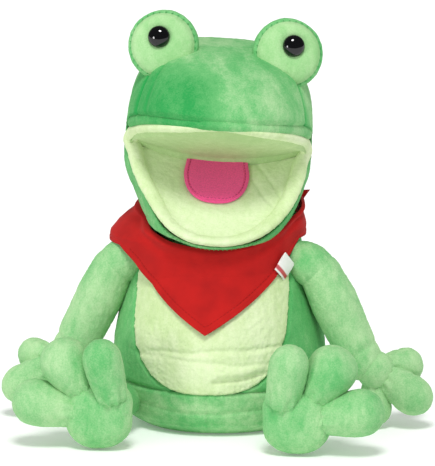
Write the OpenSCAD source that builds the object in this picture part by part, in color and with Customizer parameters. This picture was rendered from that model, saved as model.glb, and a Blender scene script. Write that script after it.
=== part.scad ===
// Frog hand puppet with a moving mouth, in millimetres. +Z is up and the frog faces -Y, so its
// left side is +X. The origin is the centre of the hand opening, on the surface the frog sits on.

/* [Torso] */
// Radius of the belly where it is widest
belly_r = 91; // [88:1:92]
// Height of the widest part of the belly
belly_z = 60; // [56:1:64]
// Radius of the flat rim that the frog sits on
rim_r = 67; // [64:1:70]
// Radius of the chest under the bandana
chest_r = 69; // [67:1:70]
// Height of the top of the chest, at the nape
torso_h = 180; // [176:1:182]
// Inner radius of the sleeve that the hand goes in by
sleeve_r = 43; // [38:1:44]
// Height of the green band under the belly panel
hem_h = 40; // [36:1:44]
// Thickness of the plush
skin = 3; // [2:0.5:3.5]

/* [Head] */
// Height of the middle of the head, where the knuckles of the hand are
head_z = 236; // [234:1:238]
// Half the width of the head
head_half_w = 80; // [76:1:82]
// How far the muzzle reaches in front of the middle of the head
muzzle = 114; // [108:1:116]
// How far the back of the head reaches behind its middle
nape = 78; // [74:1:80]
// Height of the crown above the middle of the head
crown_h = 94; // [88:1:96]
// Radius of the round underside that turns in the collar
ball_r = 79; // [77:1:80]
// Sideways lean of the head at rest
head_roll = 4; // [-5:0.5:5]
// Turn of the head at rest, towards the frog's left
head_turn = 8; // [-10:1:10]

/* [Mouth] */
// Angle of the palate above the horizontal
palate_tilt = 20; // [16:1:22]
// Angle of the lower jaw below the horizontal, when it hangs open
jaw_drop = 42; // [40:1:43]
// Half the width of the lower jaw
jaw_half_w = 78; // [74:1:79]
// Length of the lower jaw, from the middle of the head
jaw_l = 116; // [112:1:117]
// Depth of the pocket for the thumb, under the jaw
jaw_depth = 20; // [16:1:20]
// Width of the tongue
tongue_w = 56; // [50:1:60]
// How far the tongue reaches from the back of the mouth
tongue_l = 53; // [48:1:56]

/* [Eyes] */
// Radius of each eye cushion
eye_r = 30; // [27:1:31]
// Half the thickness of each eye cushion
eye_half_t = 15; // [13:1:16]
// Diameter of the plastic eyes
bead_d = 18; // [15:1:20]

/* [Limbs] */
// Radius of the shoulder
shoulder_r = 23; // [21:0.5:23]
// Radius of the arm below the shoulder
arm_r = 20.5; // [18:0.5:20.5]
// Radius of the wrist
wrist_r = 17; // [15:0.5:17]
// Radius of the sole of the foot
pad_r = 29; // [27:0.5:29]
// Half the thickness of the foot
pad_half_t = 16; // [14:0.5:16]
// Radius of the leg
leg_r = 16; // [14:0.5:16]

/* [Bandana] */
// Thickness of the folded cotton
cloth = 2; // [1.5:0.5:2]
// Height of the point of the bandana
point_z = 92; // [88:1:100]
// Side of the square label
label_w = 19; // [15:1:20]

/* [Hidden] */
$fn = 48;
SIDES = ["left", "right"];

plush_green = "#5cb85f";
plush_light = "#d4e2b0";
cotton_red = "#b3221f";
felt_pink = "#e0417f";
lining_cream = "#e9e4d2";
wadding_white = "#f4f2ea";

head_p = [-2, 2, head_z];               // the middle of the head, which all its turns go through
hinge = [0, -14, 0];                   // the line that both jaws fold on, from the middle of the head
lining_t = 3.8;                        // the sleeve's wall
collar_gap = 3;                        // room between the round underside of the head and the collar
lip_h = 7;                             // height of each of the two rolls along the upper jaw
lip_w = 9;                             // and their width
board_t = 3;                           // the foam boards in the jaws
lining_h = 2.5;                        // the plush that lines the mouth
jaw_back = 1.5;                        // room between a jaw's back edge and the hinge line
rim_start = 22;                        // where the padded rim of the jaw begins, from the hinge
rim_w = 12;
tongue_start = 14;                     // where the tongue is sewn, from the hinge
panel_x = 62;                          // the seams between the crown and the side panels
seam_y = 26;                           // the seam across the head behind the eyes, from its middle
eye_at = [53, -30, 92];                // the middle of the left eye cushion, from the middle of the head
eye_up = 15;                           // how far it faces up
eye_out = 8;                           // and out
bead_off = [3, 6];                     // the plastic eye's place on the cushion: out and up
shoulder_at = [90, -20, 139];
shoulder_flat = 10;                    // from the shoulder's middle to its flat side
wrist_at = [125, -22, 61];
palm_r = 15;
joint_gap = 0.8;                       // half the gap that a sewn crease leaves between two lobes
hip_at = [80, -69, 26];
foot_at = [85, -135, 29.5];
cloth_front_z = 156;                   // height of the bandana's upper edge in front, clear of the jaw
cloth_back_z = 186;                    // and behind
knot_at = [0, 88, 176];                // the knot at the back of the neck
knot_r = 8;
knot_half_w = 12;                      // half the knot's width across the neck
tail_start = 14.3;                     // from the middle of the knot to each tail's root, clear of the knot
tail_r = 2;                            // radius of a tail's root
label_a = 58;                          // where the label is sewn, as an angle round the neck
sleeve_h = 152;                        // height of the lined sleeve
wadding_top = 166;                     // height of the wadding in the torso
wadding_step = 154;                    // where the wadding makes room for the neck
head_floor = -52;                      // the flat cut under the head, from its middle
stem_r = 2;                            // radius of the plastic eye's stem

// ---- helpers ----

// A superellipse's outline, from angle a0 to a1; angle 0 points to -Y
function oval(half_w, length, n, a0 = -180, a1 = 180, steps = 48) = [
    for (i = [0:steps]) let (a = a0 + (a1 - a0) * i / steps, c = cos(a), s = sin(a))
        [half_w * sign(s) * pow(abs(s), 2 / n), -length * sign(c) * pow(abs(c), 2 / n)]
];

// Radius of the torso at height z: round under the widest part, and a smooth wave above it
function torso_r(z) = z < belly_z
    ? rim_r + (belly_r - rim_r) * sqrt(1 - pow((belly_z - z) / belly_z, 2))
    : chest_r + (belly_r - chest_r) * (1 + cos(min(180, 180 * (z - belly_z) / 110))) / 2;

// Distance of the head's surface from its middle: a squarish dome in front, above and behind, and a
// ball below, which the collar holds. Azimuth 0 is the front, and elevation 90 the top.
function head_radius(az, el) = let (
        dx = abs(cos(el) * sin(az)), dy = cos(el) * cos(az), dz = abs(sin(el)),
        low = max(0, 1 + el / 25), n = el < 0 ? 2 + 0.4 * low : 2.4,
        reach = dy < 0 ? nape : el < 0 ? ball_r + (muzzle - ball_r) * low * low : muzzle
    )
    el < 0
        ? pow(pow(dx / head_half_w, n) + pow(dz / ball_r, n) + pow(abs(dy) / reach, n), -1 / n)
        : pow(pow(pow(dx / head_half_w, 3) + pow(dz / crown_h, 3), n / 3) + pow(abs(dy) / reach, n), -1 / n);

function head_ring(el, inset) = [
    for (az = [0:12:348]) (head_radius(az, el) - inset)
        * [cos(el) * sin(az), -cos(el) * cos(az), sin(el)]
];

// A closed solid through rings of points, with a flat face on the first and last ring
module ring_solid(rings) {
    n = len(rings[0]);
    m = len(rings);
    polyhedron(
        points = [for (r = rings) each r],
        faces = concat(
            [[for (j = [0:n - 1]) j]],
            [for (i = [0:m - 2]) for (j = [0:n - 1]) let (k = (j + 1) % n)
                [i * n + j, (i + 1) * n + j, (i + 1) * n + k]],
            [for (i = [0:m - 2]) for (j = [0:n - 1]) let (k = (j + 1) % n)
                [i * n + j, (i + 1) * n + k, i * n + k]],
            [[for (j = [n - 1:-1:0]) (m - 1) * n + j]]
        ),
        convexity = 8
    );
}

// A closed band through sections that follow each other all the way round
module band_solid(sections) {
    n = len(sections[0]);
    m = len(sections);
    polyhedron(
        points = [for (s = sections) each s],
        faces = concat(
            [for (i = [0:m - 1]) for (j = [0:n - 1]) let (a = (i + 1) % m, k = (j + 1) % n)
                [i * n + j, i * n + k, a * n + k]],
            [for (i = [0:m - 1]) for (j = [0:n - 1]) let (a = (i + 1) % m, k = (j + 1) % n)
                [i * n + j, a * n + k, a * n + j]]
        ),
        convexity = 8
    );
}

// Turns +Z to point from one place to another
module along(from, to) {
    d = to - from;
    translate(from) rotate([0, acos(d.z / norm(d)), atan2(d.y, d.x)]) children();
}

// A stuffed lobe, such as a toe: a round bulb on a narrower root
module lobe(from, to, r, root = 0.5, bulb = 0.6) {
    length = norm(to - from);
    along(from, to) rotate_extrude() polygon(concat([[0, 0]], [
        for (i = [0:12]) let (t = i / 12)
            [r * (t < bulb ? root + (1 - root) * sin(90 * t / bulb)
                : sqrt(max(0, 1 - pow((t - bulb) / (1 - bulb), 2)))), t * length]
    ]));
}

// A lens of revolution about Z, between heights z0 and z1 as shares of its half thickness
module lens(r, half_t, z0 = -1, z1 = 1) {
    a0 = asin(z0);
    a1 = asin(z1);
    rotate_extrude() polygon(concat([[0, half_t * z0]], [
        for (i = [0:12]) let (a = a0 + (a1 - a0) * i / 12) [r * cos(a), half_t * sin(a)]
    ], [[0, half_t * z1]]));
}

module in_head() {
    translate(head_p) rotate([0, 0, head_turn]) rotate([0, head_roll, 0]) children();
}

// The palate's and the jaw's own frames: the hinge line is at the origin, and -Y points forward
module in_palate() {
    in_head() translate(hinge) rotate([-palate_tilt, 0, 0]) children();
}

module in_jaw() {
    in_head() translate(hinge) rotate([jaw_drop, 0, 0]) children();
}

// Makes the frog's right from its left
module side(s) {
    mirror([s == "right" ? 1 : 0, 0, 0]) children();
}

// ---- torso ----

module torso_wall(z0, z1, out, into) {
    steps = 14;
    zs = [for (i = [0:steps]) z0 + (z1 - z0) * i / steps];
    rotate_extrude() polygon(concat(
        [for (z = zs) [torso_r(z) - out, z]],
        [for (i = [steps:-1:0]) [torso_r(zs[i]) - into, zs[i]]]
    ));
}

// Cuts the neckline: room for the head's round underside, and a low front for the chin
module neckline() {
    difference() {
        children();
        translate(head_p) sphere(ball_r + collar_gap);
        translate([0, -chest_r - 8, 154]) rotate([22, 0, 0]) translate([-100, -100, 0]) cube([200, 200, 80]);
    }
}

module belly_outline(grow = 0) {
    translate([0, 0, 112]) rotate([90, 0, 0]) linear_extrude(120)
        polygon(oval(67 + grow, 74 + grow, 2.8));
}

module torso_shell() {
    color(plush_green) difference() {
        neckline() torso_wall(hem_h, torso_h, 0, skin);
        belly_outline();
    }
}

module belly_panel() {
    color(plush_light) intersection() {
        neckline() torso_wall(hem_h, torso_h, 0, skin);
        belly_outline(-0.1);
    }
}

module hem_band() {
    color(plush_green) torso_wall(0, hem_h, 0, skin);
}

module base_panel() {
    color(plush_green) difference() {
        cylinder(h = skin, r = rim_r - skin);
        translate([0, 0, -1]) cylinder(h = skin + 2, r = sleeve_r + lining_t);
    }
}

module torso_wadding() {
    steps = 16;
    zs = [for (i = [0:steps]) skin + (wadding_top - skin) * i / steps];
    color(wadding_white) neckline() rotate_extrude() polygon(concat(
        [for (z = zs) [torso_r(z) - skin - 0.4, z]],
        [[sleeve_r + 13, wadding_top], [sleeve_r + 13, wadding_step]],
        [[sleeve_r + lining_t, wadding_step], [sleeve_r + lining_t, skin]]
    ));
}

module sleeve_lining() {
    color(lining_cream) difference() {
        cylinder(h = sleeve_h, r = sleeve_r + lining_t - 0.05);
        translate([0, 0, -1]) cylinder(h = sleeve_h + 2, r = sleeve_r);
    }
}

// ---- bandana ----

// Heights of the cloth's edges at angle a round the neck, where 0 is the front
function cloth_top(a) = cloth_front_z + (cloth_back_z - cloth_front_z) * (1 - cos(min(180, 1.45 * abs(a)))) / 2;
function cloth_low(a) = min(166, point_z + 0.98 * abs(a));
// The cloth lies on the chest, and flares over the shoulders
function cloth_r(a, z) = let (over = pow(sin(min(180, abs(a))), 4))
    max(torso_r(z) + 2, 75 + over * 18 * max(0, min(1, (188 - z) / 23)))
    + 6 * max(0, cos(a)) * max(0, min(1, (150 - z) / 60)) * 0.5;

function cloth_pt(a, t, out) = let (
        z = cloth_top(a) + (cloth_low(a) - cloth_top(a)) * t, r = cloth_r(a, z) + out
    ) [r * sin(a), -r * cos(a), z];

module bandana() {
    steps = 5;
    color(cotton_red) band_solid([
        for (a = [-180:7.5:172.5]) concat(
            [for (i = [0:steps]) cloth_pt(a, i / steps, cloth)],
            [for (i = [steps:-1:0]) cloth_pt(a, i / steps, 0)]
        )
    ]);
}

module bandana_knot() {
    color(cotton_red) translate(knot_at) rotate([0, 90, 0]) lens(knot_r, knot_half_w);
}

module bandana_tail(tip, fan) {
    start = knot_at + [sign(tip.x) * tail_start, 0, 0];
    color(cotton_red) hull() {
        translate(start) sphere(tail_r, $fn = 12);
        translate(tip) sphere(1, $fn = 12);
        translate(tip + fan) sphere(1, $fn = 12);
    }
}

module bandana_tail_left() { bandana_tail([69, 68, 188], [-14, 6, -20]); }
module bandana_tail_right() { bandana_tail([-52, 88, 152], [14, 4, -16]); }

module label_tag() {
    z = cloth_low(label_a) + 2;
    r = cloth_r(label_a, z) + cloth + 1.2;
    color("white") translate([r * sin(label_a), -r * cos(label_a), z]) rotate([0, 0, label_a])
        rotate([8, 42, 0]) translate([-label_w / 2, -0.5, -label_w]) cube([label_w, 1, label_w]);
}

// ---- neck ----

module neck_ring(r, wall, z0, z1) {
    difference() {
        translate([0, 0, z0]) cylinder(h = z1 - z0, r = r + wall);
        translate([0, 0, z0 - 1]) cylinder(h = z1 - z0 + 2, r = r);
        translate(head_p) sphere(ball_r + 1.5);
    }
}

module neck_tube() { color(plush_green) neckline() neck_ring(sleeve_r + 8, 3, 156, 178); }
module neck_lining() { color(lining_cream) neck_ring(sleeve_r - 6, 2, 155, 172); }

// ---- head ----

module head_solid(inset) {
    intersection() {
        ring_solid([for (el = [-54:12:78]) head_ring(el, inset), head_ring(86, inset)]);
        translate([-200, -200, head_floor]) cube([400, 400, 300]);
    }
}

// The open mouth as the side shows it, with the thickness of both jaws
module mouth_gap() {
    up = [sin(palate_tilt), cos(palate_tilt)] * 2 * lip_h;
    ahead_up = [-cos(palate_tilt), sin(palate_tilt)] * 160;
    down = [sin(jaw_drop), -cos(jaw_drop)] * (jaw_depth + 2);
    ahead_down = [-cos(jaw_drop), -sin(jaw_drop)] * 160;
    start = [hinge.y, hinge.z];
    rotate([90, 0, 90]) translate([0, 0, -120]) linear_extrude(240)
        polygon([start + up, start + up + ahead_up, start + down + ahead_down, start + down]);
}

module head_wall(out, into) {
    difference() {
        head_solid(out);
        head_solid(into);
        translate([0, 0, head_floor]) cylinder(h = 10, r = 52);
        mouth_gap();
    }
}

module crown_panel() {
    color(plush_green) in_head() intersection() {
        head_wall(0, skin);
        translate([-panel_x, -200, -5]) cube([2 * panel_x, 200 + seam_y, 200]);
    }
}

module side_panel(s) {
    color(plush_green) in_head() side(s) intersection() {
        head_wall(0, skin);
        translate([panel_x + 0.05, -200, -5]) cube([100, 200 + seam_y, 200]);
    }
}

module nape_panel() {
    color(plush_green) in_head() difference() {
        head_wall(0, skin);
        translate([-200, -200, -5.05]) cube([400, 200 + seam_y + 0.05, 200]);
    }
}

module head_wadding() {
    color(wadding_white) in_head() difference() {
        head_wall(skin + 0.1, skin + 6);
        for (x = [-1, 1]) translate([x * eye_at.x, eye_at.y, 60]) cylinder(h = 50, r = 4);
    }
}

// The front of the throat, a slanting wall behind the jaw
module throat_panel() {
    color(plush_green) in_head() difference() {
        intersection() {
            head_solid(skin + 6.2);
            translate(hinge) rotate([jaw_drop, 0, 0]) translate([-100, -200, -jaw_depth - 2 - skin])
                cube([200, 198, skin - 0.1]);
        }
        translate([-100, -200, head_floor - 1]) cube([200, 400, 3]);
    }
}

function lip_outline(inset) = oval(head_half_w - 1 - inset, muzzle - 4 - inset, 2.3);

module lip_ring(z0, h) {
    in_palate() translate([0, -hinge.y, z0]) difference() {
        linear_extrude(h) polygon(lip_outline(0));
        translate([0, 0, -1]) linear_extrude(h + 2) polygon(lip_outline(lip_w));
        translate([-100, hinge.y - jaw_back, -1]) cube([200, 200, h + 2]);
    }
}

module mouth_plate(outline, z0, h) {
    translate([0, -hinge.y, z0]) difference() {
        linear_extrude(h) polygon(outline);
        translate([-100, hinge.y - jaw_back, -1]) cube([200, 200, h + 2]);
    }
}

module upper_lip() { color(plush_light) lip_ring(0, lip_h); }
module lip_band() { color(plush_green) lip_ring(lip_h, lip_h - 0.1); }
module palate() { color(plush_light) in_palate() mouth_plate(lip_outline(lip_w + 0.1), 0, lining_h); }
module palate_board() {
    color(wadding_white) in_palate() mouth_plate(lip_outline(lip_w + 2), lining_h, board_t);
}

// ---- jaw ----

function jaw_outline(inset) = oval(jaw_half_w - inset, jaw_l - inset, 2.2);

// The dish under the jaw, half a flattened ball
module jaw_dish(inset) {
    translate([0, -hinge.y, 0]) ring_solid([
        for (el = [-80, -66, -52, -38, -24, -10, 0]) [
            for (p = oval((jaw_half_w - 1 - inset) * cos(el), (jaw_l - 1 - inset) * cos(el), 2.2, -180, 170, 35))
                [p.x, p.y, (jaw_depth - inset) * sin(el)]
        ]
    ]);
}

module jaw_shell() {
    color(plush_green) in_jaw() difference() {
        jaw_dish(0);
        jaw_dish(skin);
        translate([-100, -jaw_back - 3, -100]) cube([200, 300, 200]);
        translate([-100, -200, -5]) cube([200, 200, 10]);
    }
}

module jaw_rim() {
    color(plush_light) in_jaw() translate([0, -hinge.y, -5]) difference() {
        linear_extrude(9) polygon(jaw_outline(0));
        translate([0, 0, -1]) linear_extrude(11) polygon(jaw_outline(rim_w));
        translate([-100, hinge.y - rim_start, -1]) cube([200, 200, 11]);
    }
}

module jaw_lining() {
    color(plush_light) in_jaw() mouth_plate(jaw_outline(rim_w + 0.1), -lining_h, lining_h);
}

module jaw_board() {
    color(wadding_white) in_jaw() mouth_plate(jaw_outline(rim_w + 3), -lining_h - board_t, board_t);
}

module tongue() {
    r = tongue_w / 2;
    color(felt_pink) in_jaw() linear_extrude(2) difference() {
        translate([0, -tongue_l + r]) union() {
            circle(r);
            translate([-r, 0]) square([tongue_w, r]);
        }
        translate([-r, -tongue_start]) square([tongue_w, 100]);
    }
}

// ---- eyes ----

// An eye cushion's own frame, with +Z facing out of its front
module in_eye(s) {
    in_head() side(s) translate(eye_at) rotate([0, 0, eye_out]) rotate([90 - eye_up, 0, 0]) children();
}

module eye_front(s) {
    color(plush_light) difference() {
        in_eye(s) difference() {
            lens(eye_r, eye_half_t, 0, 1);
            translate([0, 0, -1]) lens(eye_r - skin, eye_half_t - skin, 0, 1);
            translate([bead_off.x, bead_off.y, 0]) cylinder(h = 40, r = stem_r + 0.2);
        }
        in_head() head_solid(-0.4);
    }
}

module eye_back(s) {
    color(plush_green) difference() {
        in_eye(s) difference() {
            lens(eye_r, eye_half_t, -1, 0);
            translate([bead_off.x, bead_off.y, -6]) cylinder(h = 10, r = 3);
        }
        in_head() head_solid(-0.4);
    }
}

bead_z = eye_half_t * sqrt(1 - (pow(bead_off.x, 2) + pow(bead_off.y, 2)) / pow(eye_r, 2)) + 1.4;

// A plastic eye: a dome on a stem that goes through the plush
module eye_bead(s) {
    color("#101418") in_eye(s) translate([bead_off.x, bead_off.y, 0]) union() {
        translate([0, 0, bead_z]) lens(bead_d / 2, 6.5, 0, 1);
        cylinder(h = bead_z + 1, r = stem_r);
    }
}

module eye_washer(s) {
    color("ivory") in_eye(s) translate([bead_off.x, bead_off.y, bead_z - 9]) difference() {
        cylinder(h = 1.6, r = 7);
        translate([0, 0, -1]) cylinder(h = 4, r = stem_r + 0.05);
    }
}

// ---- arms ----

// The shoulder: a ball with a flat side towards the torso
module shoulder(s) {
    a0 = asin(-shoulder_flat / shoulder_r);
    color(plush_green) side(s) translate(shoulder_at) rotate([0, 90, 0]) rotate_extrude()
        polygon(concat([[0, -shoulder_flat]], [
            for (i = [0:16]) let (a = a0 + (90 - a0) * i / 16) shoulder_r * [max(0, cos(a)), sin(a)]
        ]));
}

module arm(s) {
    d = (wrist_at - shoulder_at) / norm(wrist_at - shoulder_at);
    start = shoulder_at + (shoulder_r + 1.5) * d;
    end = wrist_at - (wrist_r + joint_gap) * d;
    length = norm(end - start);
    color(plush_green) side(s) along(start, end) rotate_extrude() polygon(concat([[0, 0], [arm_r, 0]], [
        for (i = [0:12]) let (t = 7.5 * i) [wrist_r * max(0, cos(t)), length + wrist_r * sin(t)]
    ]));
}

palm_at = wrist_at + (palm_r + joint_gap) * [0.76, 0, -0.65];

module palm(s) { color(plush_green) side(s) translate(palm_at) sphere(palm_r); }

// A finger from the palm's surface, in direction d and then on to its tip
module finger(s, d, tip, r) {
    color(plush_green) side(s) lobe(palm_at + (palm_r + 1) * d / norm(d), tip, r, 0.45, 0.6);
}

module finger_low(s) { finger(s, [-0.05, 0, -1], [137, -22, 2.5], 12.5); }
module finger_long(s) { finger(s, [0.86, 0, -0.5], [184, -22, 19], 13.5); }
module finger_back(s) { finger(s, [0.78, 0.6, 0.1], [172, 8, 50], 13); }

// ---- legs ----

module leg(s) {
    ankle = foot_at + [-4, pad_half_t + 1 + leg_r, -1];
    color(plush_green) side(s) union() {
        translate(hip_at) sphere(leg_r);
        along(hip_at, ankle) cylinder(h = norm(ankle - hip_at), r = leg_r);
        translate(ankle) sphere(leg_r);
    }
}

module foot_pad(s) {
    color(plush_green) side(s) translate(foot_at) rotate([90, 0, 0]) lens(pad_r, pad_half_t);
}

module toe_middle(s) {
    color(plush_green) side(s) lobe(foot_at + [17, 2, 25.5], foot_at + [41, 3, 62], 21, 0.45);
}

module toe_outer(s) {
    color(plush_green) side(s) lobe(foot_at + [30.6, 0, 3.5], foot_at + [75.5, 0, 10], 18.8, 0.5);
}

module toe_inner(s) {
    color(plush_green) side(s) lobe(foot_at + [-10, -9, 29.4], foot_at + [-1.5, -17, 68.8], 16.8, 0.5);
}

// ---- what is drawn ----

torso_shell();
belly_panel();
hem_band();
base_panel();
torso_wadding();
sleeve_lining();
bandana();
bandana_knot();
bandana_tail_left();
bandana_tail_right();
label_tag();
neck_tube();
neck_lining();
crown_panel();
nape_panel();
throat_panel();
head_wadding();
lip_band();
upper_lip();
palate();
palate_board();
jaw_shell();
jaw_rim();
jaw_lining();
jaw_board();
tongue();
for (s = SIDES) {
    side_panel(s);
    eye_front(s);
    eye_back(s);
    eye_bead(s);
    eye_washer(s);
    shoulder(s);
    arm(s);
    palm(s);
    finger_low(s);
    finger_long(s);
    finger_back(s);
    leg(s);
    foot_pad(s);
    toe_middle(s);
    toe_outer(s);
    toe_inner(s);
}
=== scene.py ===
"""Builds the looks of a plush frog hand puppet around its CAD frame."""

import math

import bmesh
import bpy
import numpy as np
from bpy.props import FloatProperty, FloatVectorProperty, PointerProperty
from bpy.types import Operator, Panel, PropertyGroup
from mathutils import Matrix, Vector


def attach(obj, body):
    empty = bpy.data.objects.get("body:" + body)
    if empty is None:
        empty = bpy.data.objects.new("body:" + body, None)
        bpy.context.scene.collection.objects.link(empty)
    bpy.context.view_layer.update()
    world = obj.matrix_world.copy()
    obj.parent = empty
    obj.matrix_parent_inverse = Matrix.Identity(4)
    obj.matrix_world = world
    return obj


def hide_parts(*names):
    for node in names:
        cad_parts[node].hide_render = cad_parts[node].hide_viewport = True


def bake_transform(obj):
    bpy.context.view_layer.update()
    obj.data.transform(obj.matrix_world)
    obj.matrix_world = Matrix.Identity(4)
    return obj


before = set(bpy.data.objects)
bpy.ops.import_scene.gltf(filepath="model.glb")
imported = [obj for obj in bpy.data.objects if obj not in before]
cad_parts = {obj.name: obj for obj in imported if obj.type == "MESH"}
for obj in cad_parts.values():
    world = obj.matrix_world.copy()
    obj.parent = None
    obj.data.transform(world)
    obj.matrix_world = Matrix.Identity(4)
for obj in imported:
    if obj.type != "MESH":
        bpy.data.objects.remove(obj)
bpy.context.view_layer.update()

bl_info = {
    "name": "Frog hand puppet",
    "version": (1, 0, 0),
    "blender": (4, 5, 0),
    "location": "3D View > Sidebar > Puppet",
    "description": "A seated plush frog hand puppet with an open mouth and a bandana",
    "category": "Object",
}

SIDES = ("left", "right")
MM = 0.001

# Sizes in millimetres, as the CAD has them
BELLY_R, BELLY_Z, RIM_R, CHEST_R = 91, 60, 67, 69
HEM_H, TORSO_H, SLEEVE_R, SLEEVE_H = 40, 180, 43, 152
HEAD_HALF_W, MUZZLE, NAPE, CROWN_H, BALL_R = 80, 114, 78, 94, 79
HEAD_AT = np.array([-2.0, 2.0, 236.0])
HEAD_ROLL, HEAD_TURN = 4, 8
HINGE = np.array([0.0, -14.0, 0.0])
PALATE_TILT, JAW_DROP = 20, 42
EYE_AT = np.array([53.0, -30.0, 92.0])
EYE_R, EYE_HALF_T, BEAD_OFF, BEAD_R = 30, 15, (3, 6), 9
SHOULDER_AT = np.array([90.0, -20.0, 139.0])
WRIST_AT = np.array([125.0, -22.0, 61.0])
PALM_R = 15
HIP_AT = np.array([80.0, -69.0, 26.0])
FOOT_AT = np.array([85.0, -135.0, 29.5])
KNOT_AT = np.array([0.0, 88.0, 176.0])
KNOT_R, KNOT_HALF_W = 8.5, 12
BELLY_AT_Z, BELLY_POWER = 112, 2.8
HEM_R, HEM_Z = 67.5, 1.2
EYE_SEAM_R, EYE_STITCH_R = 27.2, 28.0
TONGUE_HALF_W, TONGUE_L = 28, 54
LABEL_W, LABEL_FOLD, LABEL_ANGLE = 19, 18.5, 58.0
# Millimetres along the head's surface per degree, for the seams
SIDE_DEGREE, OVER_DEGREE = 1.55, 1.6
# The camera: degrees round and up, metres away, the frame's width in metres and the point looked at
CAMERA_TURN, CAMERA_RISE, CAMERA_FAR = 8, 12, 12.0
FRAME_W, LOOK_AT, SENSOR = 0.3994, (-0.0022, 0, 0.1618), 36


# ---- small mathematics ----

def rows(*args, **settings):
    """Even steps down a grid."""
    return np.linspace(*args, **settings)[:, None]


def columns(*args, **settings):
    """Even steps across a grid."""
    return np.linspace(*args, **settings)[None, :]


def unit(v):
    return v / np.maximum(np.linalg.norm(v, axis=-1, keepdims=True), 1e-9)


def ease(t):
    """0 to 1 along a smooth S curve."""
    t = np.clip(t, 0, 1)
    return t * t * (3 - 2 * t)


def bell(d, width):
    """1 at d 0, falling away like a bell over width."""
    return np.exp(-((d / width) ** 2))


def power(v, n):
    """v raised to n, keeping v's sign."""
    return np.sign(v) * np.abs(v) ** n


def turn_x(deg):
    c, s = math.cos(math.radians(deg)), math.sin(math.radians(deg))
    return np.array([[1, 0, 0], [0, c, -s], [0, s, c]])


def turn_y(deg):
    c, s = math.cos(math.radians(deg)), math.sin(math.radians(deg))
    return np.array([[c, 0, s], [0, 1, 0], [-s, 0, c]])


def turn_z(deg):
    c, s = math.cos(math.radians(deg)), math.sin(math.radians(deg))
    return np.array([[c, -s, 0], [s, c, 0], [0, 0, 1]])


def clumps(p, size, seed=0):
    """A smooth field from -1 to 1: fixed pseudo-random values at the corners of cubes of that size, eased
    together between them."""
    q = p / size + seed * 37.7
    base = np.floor(q).astype(np.int64)
    f = q - base
    f = f * f * (3 - 2 * f)
    total = np.zeros(p.shape[:-1])
    for dx in (0, 1):
        for dy in (0, 1):
            for dz in (0, 1):
                n = (((base[..., 0] + dx) * 73856093 ^ (base[..., 1] + dy) * 19349663 ^ (base[..., 2] + dz)
                    * 83492791) & 0xFFFFFF)
                n = (n * 1103515 + (n >> 7) * 12345 + 777) & 0xFFFFFF
                n = ((n ^ (n >> 11)) * 40503) & 0xFFFFFF
                w = ((f[..., 0] if dx else 1 - f[..., 0]) * (f[..., 1] if dy else 1 - f[..., 1])
                    * (f[..., 2] if dz else 1 - f[..., 2]))
                total += w * (n / 0x7FFFFF - 1)
    return total


def pile(p, lumps=0.8, tufts=0.35):
    """How far plush stands out at each place: soft lumps of the filling about 35 mm wide, and tufts of its
    pile a few millimetres wide."""
    return lumps * clumps(p, 35, 1) + tufts * (0.6 * clumps(p, 3.4, 2) + 0.5 * clumps(p, 1.9, 3))


def nap_of(p, level=0.62, swing=0.3):
    """Which way the pile leans, 0 dark to 1 light: streaks that run down the cloth, 10 mm wide and twice as
    long, over patches 30 mm wide."""
    down = p * np.array([1, 1, 0.5])
    return (level + 0.8 * swing * (0.45 * clumps(down, 12, 5) + 0.7 * clumps(p, 38, 6) + 0.3 * clumps(down,
        4.5, 7)))


def slope(p, axis, wrap):
    return (np.roll(p, -1, axis) - np.roll(p, 1, axis)) if wrap else np.gradient(p, axis=axis)


def normals(p, wrap=(False, False)):
    """Unit normals of a grid of points: the cross product of its two slopes. At a pole it is the mean of
    the next row."""
    n = unit(np.cross(slope(p, 0, wrap[0]), slope(p, 1, wrap[1])))
    for axis, row, beside in ((0, 0, 1), (0, -1, -2), (1, 0, 1), (1, -1, -2)):
        line = p.take(row, axis)
        if not wrap[axis] and np.ptp(line, axis=0).max() < 1e-6:
            pole = unit(n.take(beside, axis).mean(0))
            if axis == 0:
                n[row] = pole
            else:
                n[:, row] = pole
    return n


def spaced(path, count, closed=False):
    """The same path at even steps."""
    line = np.vstack([path, path[:1]]) if closed else path
    at = np.concatenate([[0], np.cumsum(np.linalg.norm(np.diff(line, axis=0), axis=1))])
    want = np.linspace(0, at[-1], count, endpoint=not closed)
    return np.stack([np.interp(want, at, line[:, k]) for k in range(line.shape[1])], axis=1)


def softened(path, width, closed=True):
    """A path with its corners rounded: each point becomes the weighted mean of its neighbours, over a bell
    of that many steps."""
    reach = int(3 * width)
    kernel = bell(np.arange(-reach, reach + 1), width)
    kernel /= kernel.sum()
    line = np.pad(path, ((reach, reach), (0, 0)), mode="wrap" if closed else "edge")
    return np.stack([np.convolve(line[:, k], kernel, "valid") for k in range(path.shape[1])], axis=1)


# ---- meshes ----

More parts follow.
